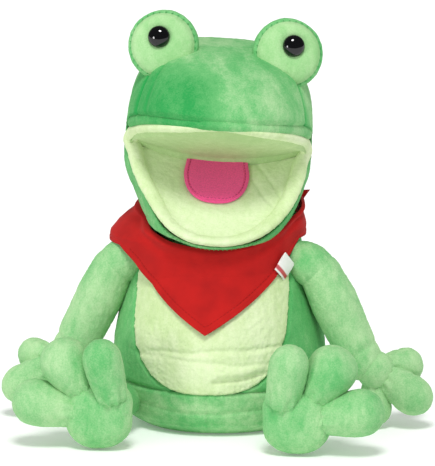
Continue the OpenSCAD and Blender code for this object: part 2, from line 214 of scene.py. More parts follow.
def new_object(name, verts, faces, material, attributes=None):
    """A smooth-shaded mesh object at the origin, from vertices in millimetres."""
    mesh = bpy.data.meshes.new(name)
    mesh.from_pydata([], [], [])
    faces = np.asarray(faces)
    mesh.vertices.add(len(verts))
    mesh.vertices.foreach_set("co", (np.asarray(verts) * MM).astype(np.float32).ravel())
    mesh.loops.add(faces.size)
    mesh.loops.foreach_set("vertex_index", faces.astype(np.int32).ravel())
    mesh.polygons.add(len(faces))
    mesh.polygons.foreach_set("loop_start", np.arange(0, faces.size, faces.shape[1], dtype=np.int32))
    mesh.polygons.foreach_set("use_smooth", np.ones(len(faces), bool))
    mesh.update(calc_edges=True)
    rest = mesh.attributes.new("place", "FLOAT_VECTOR", "POINT")
    rest.data.foreach_set("vector", np.asarray(verts).astype(np.float32).ravel())
    for key, values in (attributes or {}).items():
        layer = mesh.attributes.new(key, "FLOAT", "POINT")
        layer.data.foreach_set("value", np.asarray(values).astype(np.float32).ravel())
    obj = bpy.data.objects.new(name, mesh)
    bpy.context.scene.collection.objects.link(obj)
    mesh.materials.append(material)
    return obj


def close_up(obj):
    """Merges the vertices of poles and of seams where a grid meets itself."""
    bm = bmesh.new()
    bm.from_mesh(obj.data)
    bmesh.ops.remove_doubles(bm, verts=bm.verts, dist=0.02 * MM)
    bm.to_mesh(obj.data)
    bm.free()


def surface(name, p, material, wrap=(False, False), outside=None, inside=None, thick=0, nap=None,
        level=0.62, swing=0.3):
    """A mesh over a grid of points. Its faces look away from the point inside, or towards the point
    outside; thick gives it a wall inwards."""
    nu, nv = p.shape[:2]
    index = np.arange(nu * nv).reshape(nu, nv)
    iu = np.concatenate([index, index[:1]]) if wrap[0] else index
    iv = np.concatenate([iu, iu[:, :1]], axis=1) if wrap[1] else iu
    faces = np.stack([iv[:-1, :-1], iv[1:, :-1], iv[1:, 1:], iv[:-1, 1:]], axis=-1).reshape(-1, 4)
    n = normals(p, wrap)
    if outside is not None:
        looks = np.sum(n * (np.asarray(outside) - p))
    else:
        centre = p.reshape(-1, 3).mean(0) if inside is None else np.asarray(inside)
        looks = np.sum(n * (p - centre))
    if looks < 0:
        faces = faces[:, ::-1]
    flat = p.reshape(-1, 3)
    nap = nap_of(flat, level, swing) if nap is None else np.broadcast_to(nap, p.shape[:2]).ravel()
    obj = new_object(name, flat, faces, material, {"nap": nap})
    close_up(obj)
    if thick:
        wall = obj.modifiers.new("wall", "SOLIDIFY")
        wall.thickness, wall.offset = thick * MM, -1
    return obj


def shifted(p, out, wrap=(False, False), inside=None):
    """The grid moved out along its normals, away from the point inside."""
    n = normals(p, wrap)
    centre = p.reshape(-1, 3).mean(0) if inside is None else np.asarray(inside)
    if np.sum(n * (p - centre)) < 0:
        n = -n
    return p + n * np.asarray(out)[..., None]


def tube(path, outward, across, high, rounds=40, closed=True):
    """A grid round a path: at each point an ellipse, across wide along outward and high the other way."""
    step = (np.roll(path, -1, 0) - np.roll(path, 1, 0)) if closed else np.gradient(path, axis=0)
    t = unit(step)
    o = unit(outward - t * np.sum(outward * t, axis=1, keepdims=True))
    b = np.cross(t, o)
    a = np.linspace(0, 2 * np.pi, rounds, endpoint=False)
    across = np.broadcast_to(across, len(path))[:, None, None]
    high = np.broadcast_to(high, len(path))[:, None, None]
    return (path[:, None] + across * np.cos(a)[None, :, None] * o[:, None] + high * np.sin(a)[None, :,
        None] * b[:, None])


def turn_out(obj, p, path, wrap):
    """Flips a tube's faces where looking away from its middle isn't looking away from its path."""
    n = normals(p, wrap)
    if np.sum(n * (p - path[:, None])) * np.sum(n * (p - p.reshape(-1, 3).mean(0))) < 0:
        obj.data.flip_normals()


def spun(r, h, count=180):
    """A grid of a profile, radius r at height h, turned about Z."""
    a = np.linspace(-np.pi, np.pi, count, endpoint=False)
    r, h = np.broadcast_arrays(np.asarray(r, float)[:, None], np.asarray(h, float)[:, None])
    return np.stack([r * np.sin(a), -r * np.cos(a), h + 0 * a], axis=-1)


def aimed(p, start, end):
    """A grid that stands along +Z, turned and moved to run from start towards end."""
    z = unit(end - start)
    x = unit(np.cross(np.array([0, 1.0, 0.02]), z))
    return start + p @ np.stack([x, np.cross(z, x), z])


def dashes(points, normal, along, length, radius):
    """Vertices and faces of sewn stitches: a small six-sided spindle at each point, lying along the seam."""
    ends = np.array([-0.5, -0.36, 0, 0.36, 0.5]) * length
    thick = np.array([0.05, 0.8, 1, 0.8, 0.05]) * radius
    a = np.linspace(0, 2 * np.pi, 6, endpoint=False)
    t = unit(along)
    n = unit(normal - t * np.sum(normal * t, axis=1, keepdims=True))
    b = np.cross(t, n)
    ring = (points[:, None, None] + ends[None, :, None, None] * t[:, None, None] + thick[None, :, None,
        None] * (np.cos(a)[None, None, :, None] * n[:, None, None] + np.sin(a)[None, None, :, None] * b[:,
        None, None]))
    k, m, s = ring.shape[:3]
    index = np.arange(k * m * s).reshape(k, m, s)
    side = np.stack([index[:, :-1], np.roll(index, -1, 2)[:, :-1], np.roll(index, -1, 2)[:, 1:],
        index[:, 1:]], axis=-1)
    return ring.reshape(-1, 3), side.reshape(-1, 4)


def stitch_row(name, path, normal, material, pitch, length, radius, lean=None, closed=False):
    """Stitches at even steps along a path. lean turns them across it, as in oversewing."""
    long = np.linalg.norm(np.diff(path, axis=0), axis=1).sum()
    both = spaced(np.hstack([path, normal]), max(3, int(long / pitch)), closed)
    at, n = both[:, :3], both[:, 3:]
    t = unit(np.gradient(at, axis=0))
    if lean is not None:
        t = unit(t * math.cos(math.radians(lean)) + np.cross(unit(n), t) * math.sin(math.radians(lean)))
    verts, faces = dashes(at, n, t, length, radius)
    return new_object(name, verts, faces, material, {"nap": np.full(len(verts), 0.5)})


# ---- materials ----

def linear(text):
    """An sRGB hex colour as the linear values that a shader takes."""
    c = [int(text[i:i + 2], 16) / 255 for i in (1, 3, 5)]
    return tuple(v / 12.92 if v <= 0.04045 else ((v + 0.055) / 1.055) ** 2.4 for v in c)


def node(tree, kind, inputs=None, **settings):
    """Adds a node, sets its properties, and links each socket given or sets each value given."""
    made = tree.nodes.new(kind)
    for key, value in settings.items():
        setattr(made, key, value)
    for key, value in (inputs or {}).items():
        if isinstance(value, bpy.types.NodeSocket):
            tree.links.new(value, made.inputs[key])
        else:
            made.inputs[key].default_value = value
    return made


def ramp(tree, factor, stops):
    """Colours by a factor from 0 to 1, at the given stops."""
    made = node(tree, "ShaderNodeValToRGB", {"Fac": factor})
    bar = made.color_ramp
    while len(bar.elements) < len(stops):
        bar.elements.new(0.5)
    for element, (place, colour) in zip(bar.elements, stops):
        element.position, element.color = place, (*colour, 1)
    return made.outputs["Color"]


def material(name, preview):
    made = bpy.data.materials.new(name)
    made.use_nodes = True
    made.node_tree.nodes.clear()
    made.diffuse_color = (*preview, 1)
    return made


def read(tree, name, output):
    """A mesh attribute, as a vector or as a factor."""
    return node(tree, "ShaderNodeAttribute", attribute_name=name).outputs[output]


def noise(tree, place, scale, detail, roughness=0.5):
    values = {"Vector": place, "Scale": scale, "Detail": detail, "Roughness": roughness}
    return node(tree, "ShaderNodeTexNoise", values).outputs["Fac"]


def mapped(tree, values):
    return node(tree, "ShaderNodeMapping", values).outputs["Vector"]


def bumps(tree, height, strength, distance, **more):
    """Normals bent by a height. The distance is in millimetres."""
    values = {"Height": height, "Strength": strength, "Distance": distance * MM, **more}
    return node(tree, "ShaderNodeBump", values).outputs["Normal"]


def mixed(tree, operation, inputs, clamp=False):
    return node(tree, "ShaderNodeMath", inputs, operation=operation, use_clamp=clamp).outputs[0]


def dressed(made, values):
    """Ends a material with one shader."""
    shader = node(made.node_tree, "ShaderNodeBsdfPrincipled", values)
    node(made.node_tree, "ShaderNodeOutputMaterial", {"Surface": shader.outputs["BSDF"]})
    return made


def plush(name, dark, mid, light, sheen=0.25, contrast=1.0):
    """Short-pile polyester plush, knitted and sheared to about 3 mm. Pile that leans towards the eye is
    dark, and pile that leans away is light and satiny, so the same dye gives two tones."""
    made = material(name, mid)
    tree = made.node_tree
    place = read(tree, "place", "Vector")
    # the nap attribute also carries painted shade: darker along the head's seams and over the whole palate
    nap = read(tree, "nap", "Fac")
    # streaks of combed pile, 5 mm wide and 12 mm long; the place is in millimetres
    down = mapped(tree, {"Vector": place, "Scale": (1 / 5, 1 / 5, 1 / 12)})
    streak = noise(tree, down, 1.0, 3.0, 0.6)
    # single tufts are 0.3 mm, drawn 1.3 mm wide so that they show
    tuft = noise(tree, place, 1 / 1.3, 2.0, 0.7)
    a = mixed(tree, "MULTIPLY_ADD", {0: streak, 1: 0.4 * contrast, 2: -0.2 * contrast})
    b = mixed(tree, "MULTIPLY_ADD", {0: tuft, 1: 0.55 * contrast, 2: -0.275 * contrast})
    c = mixed(tree, "ADD", {0: a, 1: b})
    tone = mixed(tree, "ADD", {0: nap, 1: c}, True)
    colour = ramp(tree, tone, ((0.0, dark), (0.5, mid), (1.0, light)))
    rough = bumps(tree, tuft, 0.5, 0.5)
    bent = bumps(tree, streak, 0.4, 0.8, Normal=rough)
    return dressed(made, {
        "Base Color": colour, "Roughness": 0.92, "Sheen Weight": sheen, "Sheen Roughness": 0.45,
        "Sheen Tint": (*light, 1), "Specular IOR Level": 0.15, "Normal": bent})


def cotton(name, colour, deep, thread=0.9):
    """Plain-woven cotton: threads over and under each other, matt, with a faint weave and a little fading.
    Threads are 0.3 mm and are drawn at the given width so that they show."""
    made = material(name, colour)
    tree = made.node_tree
    place = read(tree, "place", "Vector")
    weave = []
    for turn in (45, -45):
        along = mapped(tree, {"Vector": place, "Rotation": (0, math.radians(turn), 0)})
        weave.append(node(tree, "ShaderNodeTexWave", {"Vector": along, "Scale": 0.314 / thread,
            "Distortion": 0.6, "Detail": 1.0}, bands_direction="X").outputs["Fac"])
    cross = mixed(tree, "MULTIPLY", {0: weave[0], 1: weave[1]})
    cloud = noise(tree, place, 1 / 18, 3.0)
    tone = mixed(tree, "MULTIPLY_ADD", {0: cross, 1: 0.35, 2: cloud}, True)
    shade = ramp(tree, tone, ((0.2, deep), (0.75, colour)))
    bump = bumps(tree, cross, 0.25, 0.2)
    return dressed(made, {"Base Color": shade, "Roughness": 0.85, "Specular IOR Level": 0.15,
        "Sheen Weight": 0.03, "Normal": bump})


def felt(name, colour, deep):
    """Pressed felt: short fibres lying every way, dead matt, with a slightly cloudy dye."""
    made = material(name, colour)
    tree = made.node_tree
    place = read(tree, "place", "Vector")
    fibre = noise(tree, place, 1 / 1.1, 4.0, 0.75)
    shade = ramp(tree, fibre, ((0.3, deep), (0.6, colour)))
    bump = bumps(tree, fibre, 0.35, 0.3)
    return dressed(made, {"Base Color": shade, "Roughness": 0.95, "Specular IOR Level": 0.1,
        "Sheen Weight": 0.2, "Normal": bump})


def satin(name, colour, stripe):
    """Woven satin ribbon: long floating threads that give a soft gloss, with two plain woven stripes near
    its ends, read from its nap attribute."""
    made = material(name, colour)
    tree = made.node_tree
    place = read(tree, "place", "Vector")
    across = read(tree, "nap", "Fac")
    grain = noise(tree, place, 1 / 0.8, 2.0)
    shade = ramp(tree, across, ((0.0, colour), (0.5, colour), (0.56, stripe), (0.7, stripe), (0.76, colour)))
    bump = bumps(tree, grain, 0.15, 0.15)
    return dressed(made, {
        "Base Color": shade, "Roughness": 0.4, "Specular IOR Level": 0.5, "Normal": bump})


def plastic(name, colour, roughness, grain=0.02, gloss=0.5):
    """Moulded plastic: an even colour from the dyed resin, IOR 1.5, with the finish of its mould."""
    made = material(name, colour)
    tree = made.node_tree
    place = node(tree, "ShaderNodeTexCoord").outputs["Object"]
    fine = noise(tree, place, 900.0, 2.0)
    shade = ramp(tree, fine, ((0.3, tuple(0.9 * c for c in colour)), (0.7, colour)))
    bump = bumps(tree, fine, grain, 0.1)
    return dressed(made, {
        "Base Color": shade, "Roughness": roughness, "IOR": 1.5, "Specular IOR Level": gloss, "Normal": bump})


def painted(name, colour, roughness=0.9, glow=0.12):
    """A plain matt floor, rolled with paint that leaves a faint cloud, with a faint glow that keeps it near
    white."""
    made = material(name, colour)
    tree = made.node_tree
    place = node(tree, "ShaderNodeTexCoord").outputs["Object"]
    cloud = noise(tree, place, 3.0, 2.0)
    shade = ramp(tree, cloud, ((0.3, tuple(0.98 * c for c in colour)), (0.7, colour)))
    return dressed(made, {"Base Color": shade, "Roughness": roughness, "Specular IOR Level": 0.1,
        "Emission Color": (1, 1, 1, 1), "Emission Strength": glow})


# ---- what a user may change ----

def colour_prop(name, text, description):
    return FloatVectorProperty(name=name, description=description, subtype="COLOR", size=3, min=0, max=1,
        default=linear(text))


def length_prop(name, mm, description, low=0, high=100):
    return FloatProperty(name=name, description=description, unit="LENGTH", default=mm * MM, min=low * MM,
        max=high * MM)


class PuppetColours(PropertyGroup):
    """The dyes of the cloths and the colours of the plastic parts."""
    green_dark: colour_prop("Green, dark nap", "#2c984c", "Body plush where its pile leans towards the eye")
    green: colour_prop("Green", "#68b46e", "Body plush")
    green_light: colour_prop("Green, light nap", "#aed39e", "Body plush where its pile leans away")
    pale_dark: colour_prop("Pale green, dark nap", "#a3c284", "Belly and mouth plush, dark nap")
    pale: colour_prop("Pale green", "#c3d9a0", "Belly and mouth plush")
    pale_light: colour_prop("Pale green, light nap", "#dfebc4", "Belly and mouth plush, light nap")
    eye_dark: colour_prop("Eye cloth, dark nap", "#74b36d", "Front of the eye cushions, dark nap")
    eye: colour_prop("Eye cloth", "#93c886", "Front of the eye cushions")
    eye_light: colour_prop("Eye cloth, light nap", "#b9dba6", "Front of the eye cushions, light nap")
    red: colour_prop("Bandana", "#b81a18", "Cotton of the bandana")
    red_deep: colour_prop("Bandana, shade", "#9c1515", "Cotton of the bandana between its threads")
    pink: colour_prop("Tongue", "#fb5a97", "Felt of the tongue")
    thread: colour_prop("Thread", "#3f9e52", "Thread of the seams")


class PuppetSizes(PropertyGroup):
    """Finishing sizes that the CAD doesn't fix."""
    seam_depth: length_prop("Seam depth", 2.6, "How deep a sewn seam sinks into the stuffing", 0, 5)
    seam_width: length_prop("Seam width", 2.0, "Half width of the furrow along a seam", 0.5, 8)
    cloth: length_prop("Cloth", 1.2, "Thickness of the bandana's cotton", 0.3, 3)


def seams():
    s = bpy.context.scene.puppet_sizes
    return s.seam_depth / MM, s.seam_width / MM


def furrow(distance, depth=None, width=None):
    """How far a seam pulls the cloth in, at a distance from it."""
    d, w = seams()
    return -(d if depth is None else depth) * bell(distance, w if width is None else width)


MATERIALS = {}


def cloth_of(slot):
    """The material of one of the record's slots, made on first use."""
    if slot not in MATERIALS:
        c = bpy.context.scene.puppet_colours
        makers = {"green_plush": lambda: plush("Green sheared plush", tuple(c.green_dark), tuple(c.green),
            tuple(c.green_light)), "light_plush": lambda: plush("Pale green sheared plush",
            tuple(c.pale_dark), tuple(c.pale), tuple(c.pale_light)),
            "eye_plush": lambda: plush("Eye cushion plush", tuple(c.eye_dark), tuple(c.eye),
            tuple(c.eye_light)), "red_cotton": lambda: cotton("Red woven cotton", tuple(c.red),
            tuple(c.red_deep)), "pink_felt": lambda: felt("Pink pressed felt", tuple(c.pink),
            tuple(0.72 * v for v in c.pink)), "white_satin": lambda: satin("White satin ribbon",
            linear("#f3f2ef"), linear("#c8474f")), "lining_cloth": lambda: cotton("Woven lining cloth",
            linear("#dfe3cb"), linear("#c3c9ac")), "foam_board": lambda: plastic("Closed-cell foam board",
            linear("#e6e3da"), 0.8, 0.3), "black_plastic": lambda: plastic("Polished black eye plastic",
            linear("#050608"), 0.035, 0.004, 0.6), "white_plastic": lambda: plastic("Moulded white nylon",
            linear("#e9e7df"), 0.5, 0.1), "thread": lambda: cotton("Green sewing thread", tuple(c.thread),
            tuple(0.6 * v for v in c.thread), 0.5), "red_thread": lambda: cotton("Red sewing thread",
            tuple(0.8 * v for v in c.red), tuple(0.5 * v for v in c.red), 0.5),
            "pink_thread": lambda: cotton("Pink sewing thread", tuple(0.6 * v for v in c.pink),
            tuple(0.45 * v for v in c.pink), 0.5),}
        MATERIALS[slot] = makers[slot]()
    return MATERIALS[slot]


def settle(obj, replaces=(), ride=None, blend=None):
    """Hides the CAD parts that a piece replaces, then parents the piece to the empty of the body it rides or,
    where a blend is given, bakes its place into its mesh.
    """
    if replaces:
        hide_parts(*([replaces] if isinstance(replaces, str) else replaces))
    if blend:
        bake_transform(obj)
    else:
        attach(obj, ride)
    return obj


# ---- the head's own frame ----

HEAD_TURNS = turn_z(HEAD_TURN) @ turn_y(HEAD_ROLL)


def from_head(p):
    return HEAD_AT + np.asarray(p, float) @ HEAD_TURNS.T


def fold_point(x, f, h, lean):
    """A point of a jaw's plate: x across, f forward from the hinge and h above its plane, which leans up by
    that angle."""
    c, s = math.cos(math.radians(lean)), math.sin(math.radians(lean))
    return np.stack(np.broadcast_arrays(x, HINGE[1] - f * c + h * s, f * s + h * c), axis=-1)


def palate(x, f, h):
    return fold_point(x, f, h, PALATE_TILT)


def jaw(x, f, h):
    return fold_point(x, f, h, -JAW_DROP)


def head_radius(d):
    """Distance of the head's surface from its middle along unit vectors d: a superellipsoid, squarish in
    front, above and behind, and a ball below, whose front draws in as it goes down."""
    x, y, z = np.abs(d[..., 0]), d[..., 1], d[..., 2]
    up = z >= 0
    low = np.clip(1 + np.degrees(np.arcsin(np.clip(z, -1, 0))) / 25, 0, 1)
    n = np.where(up, 2.4, 2 + 0.4 * low)
    reach = np.where(y > 0, NAPE, np.where(up, MUZZLE, BALL_R + (MUZZLE - BALL_R) * low ** 2))
    top = ((x / HEAD_HALF_W) ** 3 + (np.abs(z) / CROWN_H) ** 3) ** (n / 3)
    ball = (x / HEAD_HALF_W) ** n + (np.abs(z) / BALL_R) ** n
    return (np.where(up, top, ball) + (np.abs(y) / reach) ** n) ** (-1 / n)


def head_way(side, over):
    """Unit vectors from the head's middle: side is the angle out to one side, and over the angle from the
    front over the top."""
    b, f = np.radians(side), np.radians(over)
    return np.stack(np.broadcast_arrays(np.sin(b), -np.cos(b) * np.cos(f), np.cos(b) * np.sin(f)), axis=-1)


def head_point(side, over, out=0.0):
    d = head_way(side, over)
    return (head_radius(d) + out)[..., None] * d


def brow_angle(side, height):
    """Where the head's skin meets the upper jaw: the angle at which it is that high above the palate, found
    by halving."""
    b = np.clip(np.abs(side), 0, 78)
    lo, hi = np.zeros_like(b), np.full_like(b, 89.0)
    for _ in range(30):
        mid = (lo + hi) / 2
        p = head_point(b, mid)
        h = ((p[..., 1] - HINGE[1]) * math.sin(math.radians(PALATE_TILT))
            + p[..., 2] * math.cos(math.radians(PALATE_TILT)))
        want = height + 11 * (p[..., 0] / 75) ** 2
        lo, hi = np.where(h < want, mid, lo), np.where(h < want, hi, mid)
    return hi * (1 - ease((np.abs(side) - 78) / 12))


BROW_H = 9.0
BACK_SEAM = 106.0
COLLAR_Z = -58.0


def side_seam(t):
    """The angle out to the seam between crown and side, from the brow, t 0, to the seam behind, t 1."""
    return 50 - 28 * ease(t) ** 0.8


def head_skin(side, over, grooves):
    """The head's surface with its pile and seams, all moved along the line from the head's middle, so that
    panels meet."""
    p = head_point(side, over)
    return head_point(side, over, pile(p, 0.9, 0.35) + grooves)


def head_nap(p):
    """The brushed patches: the pile leans one way over the frog's right brow, which is dark, and the other
    way over its left."""
    x, z = p[..., 0], p[..., 2]
    dark = ease((14 - x) / 34) * ease((88 - z) / 22) * (0.6 + 0.4 * ease((z - 18) / 25))
    dark = np.where(p[..., 1] > -10, dark * 0.3, dark)
    swirl = clumps(np.stack([x + 0.7 * z, z - 0.7 * x, p[..., 1]], -1) * np.array([1, 0.35, 0.5]), 9, 11)
    return nap_of(p, 0.6, 0.22) - 0.55 * dark + 0.16 * swirl * (1 - dark)


class PUPPET_OT_head(Operator):
    """Sew the head: crown, two sides, nape and the skin under the jaw"""
    bl_idname = "puppet.build_head"
    bl_label = "Head"

    def execute(self, context):
        green = cloth_of("green_plush")
        t = columns(0, 1, 170)
        u = rows(-1, 1, 170)
        side = u * side_seam(t)
        low = brow_angle(side, BROW_H)
        over = low + (BACK_SEAM - low) * t
        from_side = (side_seam(t) - np.abs(side)) * SIDE_DEGREE
        from_back = (BACK_SEAM - over) * OVER_DEGREE
        fold = -0.9 * bell(u + 0.78, 0.03) * ease((0.75 - t) / 0.3)
        brow = -4.5 * bell((over - low) * 1.8, 2.6)
        skin = head_skin(side, over, furrow(from_side) + furrow(from_back) + fold + brow)
        # painted shade: the crown's tone is darkened along its seam furrows and its fold, as deep as they
        # sink
        crown = surface("crown", from_head(skin), green, inside=HEAD_AT, thick=2, nap=head_nap(skin)
            + 0.16 * (furrow(from_side) + furrow(from_back) + fold))
        settle(crown, ("crown_panel", "head_wadding"), ride="head")
        for s in SIDES:
            k = 1 if s == "left" else -1
            w = rows(0, 1, 90)
            edge = side_seam(t)
            out = edge + (90 - edge) * w
            low = brow_angle(out, BROW_H)
            over = low + (BACK_SEAM - low) * t
            grooves = (furrow((out - edge) * SIDE_DEGREE) + furrow((BACK_SEAM - over) * OVER_DEGREE
                * np.cos(np.radians(out)) ** 0.5))
            grooves = grooves - 4.5 * bell((over - low) * 1.8, 2.6) * ease((74 - out) / 12)
            skin = head_skin(k * out, over, grooves)
            # painted shade: the side's tone is darkened along its seam furrows and in the dip under the brow,
            # as deep as they sink
            panel = surface(f"side_of_head_{s}", from_head(skin), green, inside=HEAD_AT, thick=2,
                nap=head_nap(skin) + 0.16 * grooves)
            settle(panel, f"side_panel_{s}", ride="head")
        # the nape, down into the collar
        side = rows(-90, 90, 240)
        ball_z = np.clip(-COLLAR_Z / BALL_R / np.maximum(np.cos(np.radians(side)), 1e-6), 0, 1)
        last = 180 + np.degrees(np.arcsin(ball_z))
        over = BACK_SEAM + (last - BACK_SEAM) * columns(0, 1, 150)
        grooves = (furrow((over - BACK_SEAM) * OVER_DEGREE * np.cos(np.radians(side)) ** 0.5)
            + furrow(side * 1.4 + 0 * over))
        skin = head_skin(side, over, grooves)
        nape = surface("nape", from_head(skin), green, inside=HEAD_AT, thick=2, nap=nap_of(skin, 0.55, 0.3))
        settle(nape, "nape_panel", ride="head")
        self.throat(green)
        return {"FINISHED"}

    def throat(self, green):
        """The skin under the jaw, from a half ring inside the collar to the rim: each strip is a quadratic
        curve whose middle stands on the head's ball."""
        s = np.linspace(-1, 1, 260)
        ring_r = math.sqrt(BALL_R ** 2 - COLLAR_Z ** 2)
        b = 90 - (1 - np.abs(s)) / 0.5 * (90 - math.degrees(math.acos(-COLLAR_Z / BALL_R)))
        arc = head_point(np.sign(s) * np.clip(b, 0, 90), 270.0 + 0 * s)
        a = np.radians(180 * s)
        ring = np.stack([ring_r * np.sin(a), -ring_r * np.cos(a), COLLAR_Z + 0 * a], -1)
        first = np.where((np.abs(s) > 0.5)[:, None], arc, ring)
        last = spaced(rim_line(0.5, -4.5, 1.5), 260)
        way = (first + last) / 2
        d = unit(way)
        reach = (np.maximum(np.linalg.norm(way, axis=1) + 4 * (1 - np.abs(s)), head_radius(d))
            + 6 * bell(np.abs(s) - 0.42, 0.22))
        knee = 2 * d * reach[:, None] - way
        v = np.linspace(0, 1, 80)[None, :, None]
        p = (1 - v) ** 2 * first[:, None] + 2 * v * (1 - v) * knee[:, None] + v ** 2 * last[:, None]
        p = from_head(shifted(p, pile(p, 0.7, 0.35), inside=(0, 0, 0)))
        throat = surface("throat", p, green, inside=from_head((0, -20, 0)), thick=2, level=0.5)
        settle(throat, ("jaw_shell", "throat_panel"),
            blend=("head", "jaw", from_head(jaw(0, 40, -16)), from_head(jaw(0, 40, -3.5))))


# ---- the mouth ----

def half_oval(half_w, length, n, inset, start):
    """Points (across, forward) of a jaw's outline, a superellipse about the head's middle, from one corner
    round the front to the other, as far back as start."""
    edge = math.acos(min(1, ((start - HINGE[1]) / (length - inset))) ** (n / 2))
    a = np.linspace(-edge, edge, 400)
    return np.stack([(half_w - inset) * power(np.sin(a), 2 / n), (length - inset) * np.cos(a) ** (2 / n)
        + HINGE[1]], 1)


def lip_line(inset, height, start=7.0):
    x, f = half_oval(79, 110, 2.3, inset, start).T
    return palate(x, f, height + 1 + 4.5 * bell(x, 26) + 6 * (x / 75) ** 2)


def rim_line(inset, height, start=7.0):
    x, f = half_oval(78, 116, 2.2, inset, start).T
    return jaw(narrowed(x, f), f, height + 0 * x)


def narrowed(x, f):
    """The jaw is sewn a little slimmer on the frog's right, half way along."""
    return np.where(x < 0, x * (1 - 0.12 * bell(f - 62, 34)), x)


def crease(x):
    """The fold at the back of the mouth: it hangs 9 mm in the middle and rises to the corners."""
    return -9 + 16 * np.clip(np.abs(x) / 76, 0, 1) ** 2.2


class PUPPET_OT_mouth(Operator):
    """Sew the mouth: lips, brow roll, palate, jaw lining and tongue"""
    bl_idname = "puppet.build_mouth"
    bl_label = "Mouth"

    def execute(self, context):
        green, pale = cloth_of("green_plush"), cloth_of("light_plush")
        # one roll of pale plush goes round both lips and through the corners
        upper, lower = lip_line(5.5, 3.2), rim_line(6.5, -0.5)[::-1]
        corner = np.array([75.5, HINGE[1] + 3.0, 5.0])
        loop = np.vstack([upper, corner, lower, corner * np.array([-1, 1, 1])])
        loop = softened(spaced(loop, 900, True), 5.0)
        forward = np.clip((HINGE[1] - loop[:, 1]) / 60, 0, 1)
        sideways = loop[:, 0] / 79 ** 2 * (1 - 0.3 * forward)
        outward = unit(np.stack([sideways, loop[:, 1] / 112 ** 2 * forward, 0 * forward], 1))
        above = np.arange(900) < 450
        mid = bell(loop[:, 0], 26)
        across = softened(np.where(above, 5.5, 6.8)[:, None], 20)[:, 0]
        high = (softened(np.where(above, 4.2 + 1.1 * mid, 4.3)[:, None], 20)[:, 0]
            + 3.2 * bell((HINGE[1] - loop[:, 1]) - 1, 11))
        p = tube(loop, outward, across, high, 44)
        n = normals(p, (True, True))
        p = p + (n * np.sign(np.sum(n * (p - loop[:, None])))) * pile(p, 0.35, 0.4)[..., None]
        lips = surface("lips", from_head(p), pale, (True, True), level=0.68)
        turn_out(lips, p, loop, (True, True))
        settle(lips, ("upper_lip", "jaw_rim"),
            blend=("head", "jaw", from_head((0, -40, 2.5)), from_head((0, -40, -3.5))))
        # green fibres caught in the seam under the jaw's rim
        path = spaced(rim_line(0.4, -4.2, 12.0), 500)
        away = unit(path * [1, 1, 0]) + [0, 0, -0.8]
        sewn = stitch_row("rim_stitches", from_head(path), away @ HEAD_TURNS.T, cloth_of("thread"), 3.7,
            2.0, 0.34, 50)
        settle(sewn, blend=("head", "jaw", from_head((0, -40, 2.5)),
            from_head((0, -40, -3.5))))
        # the green roll over the upper lip
        x, f = half_oval(79, 111, 2.3, 3.6, 2.0).T
        path = spaced(palate(x, f, 8.6 + 9.5 * (x / 75) ** 2), 420)
        ends = np.sqrt(np.clip(1 - np.abs(np.linspace(-1, 1, 420)) ** 24, 0, 1))
        outward = unit(np.stack([path[:, 0] / 79 ** 2, path[:, 1] / 112 ** 2, 0 * path[:, 0]], 1))
        p = tube(path, outward, 5.0 * ends, 5.4 * ends, 36, False)
        n = normals(p, (False, True))
        p = p + n * np.sign(np.sum(n * (p - path[:, None]))) * pile(p, 0.3, 0.4)[..., None]
        roll = surface("brow_roll", from_head(p), green, (False, True), nap=np.clip(head_nap(p) + 0.05, 0, 1))
        turn_out(roll, p, path, (False, True))
        settle(roll, "lip_band", ride="head")
        # palate and jaw lining start on the same crease
        u, v = rows(-1, 1, 200), columns(0, 1, 130)
        x = 75.5 * np.sin(u * np.pi / 2)
        reach = 104 * np.clip(1 - np.abs(x / 76) ** 2.3, 0, 1) ** (1 / 2.3) + HINGE[1]
        f = np.clip(reach, 0, None) * v
        h = (1.2 + 1.5 * clumps(np.stack([x + 0 * v, f, 0 * f], -1), 28, 3) * ease(f / 20)
            - 4.0 * ease(1 - f / 7))
        h = h + (0.5 + 3.5 * bell(x, 26) + 4 * (x / 75) ** 2) * ease((v - 0.7) / 0.3)
        p = palate(x + 0 * v, f, h)
        p[..., 2] += crease(x) * (1 - v) ** 2
        roof_points = p
        p = shifted(p, pile(p, 0.3, 0.25))
        # painted shade: the palate takes the pale plush near the dark end of its nap, as it lies in shade
        # under the upper lip
        roof = surface("palate_lining", from_head(p), pale, outside=from_head((0, -60, -5)), thick=1.5,
            level=0.08, swing=0.25)
        settle(roof, "palate", ride="head")
        floor_x = 74 * np.sin(u * np.pi / 2)
        reach = 109 * np.clip(1 - np.abs(floor_x / 75) ** 2.2, 0, 1) ** (1 / 2.2) + HINGE[1]
        f = np.clip(reach, 0, None) * v
        xx = floor_x + 0 * v
        wrinkles = (0.9 * bell((xx - 0.75 * f - 12 + 4 * clumps(np.stack([xx, f, 0 * f], -1), 20, 4)), 2.6)
            + 0.8 * bell((xx - 0.55 * f - 32), 2.2))
        p = jaw(narrowed(xx, f), f, -1.0 + 2.2 * ease((v - 0.75) / 0.25) - wrinkles
            + 1.0 * clumps(np.stack([xx, f, 0 * f], -1), 24, 9))
        p[..., 2] += crease(xx) * (1 - v) ** 2
        bed_points = p
        p = shifted(p, pile(p, 0.3, 0.3))
        bed = surface("jaw_lining_plush", from_head(p), pale, outside=from_head((0, -60, 10)), thick=1.5,
            level=0.72, swing=0.2)
        bend = ("head", "jaw", from_head(jaw(0, 6, 0)), from_head(jaw(0, 22, 0)))
        settle(bed, "jaw_lining", blend=bend)
        self.tongue(bend)
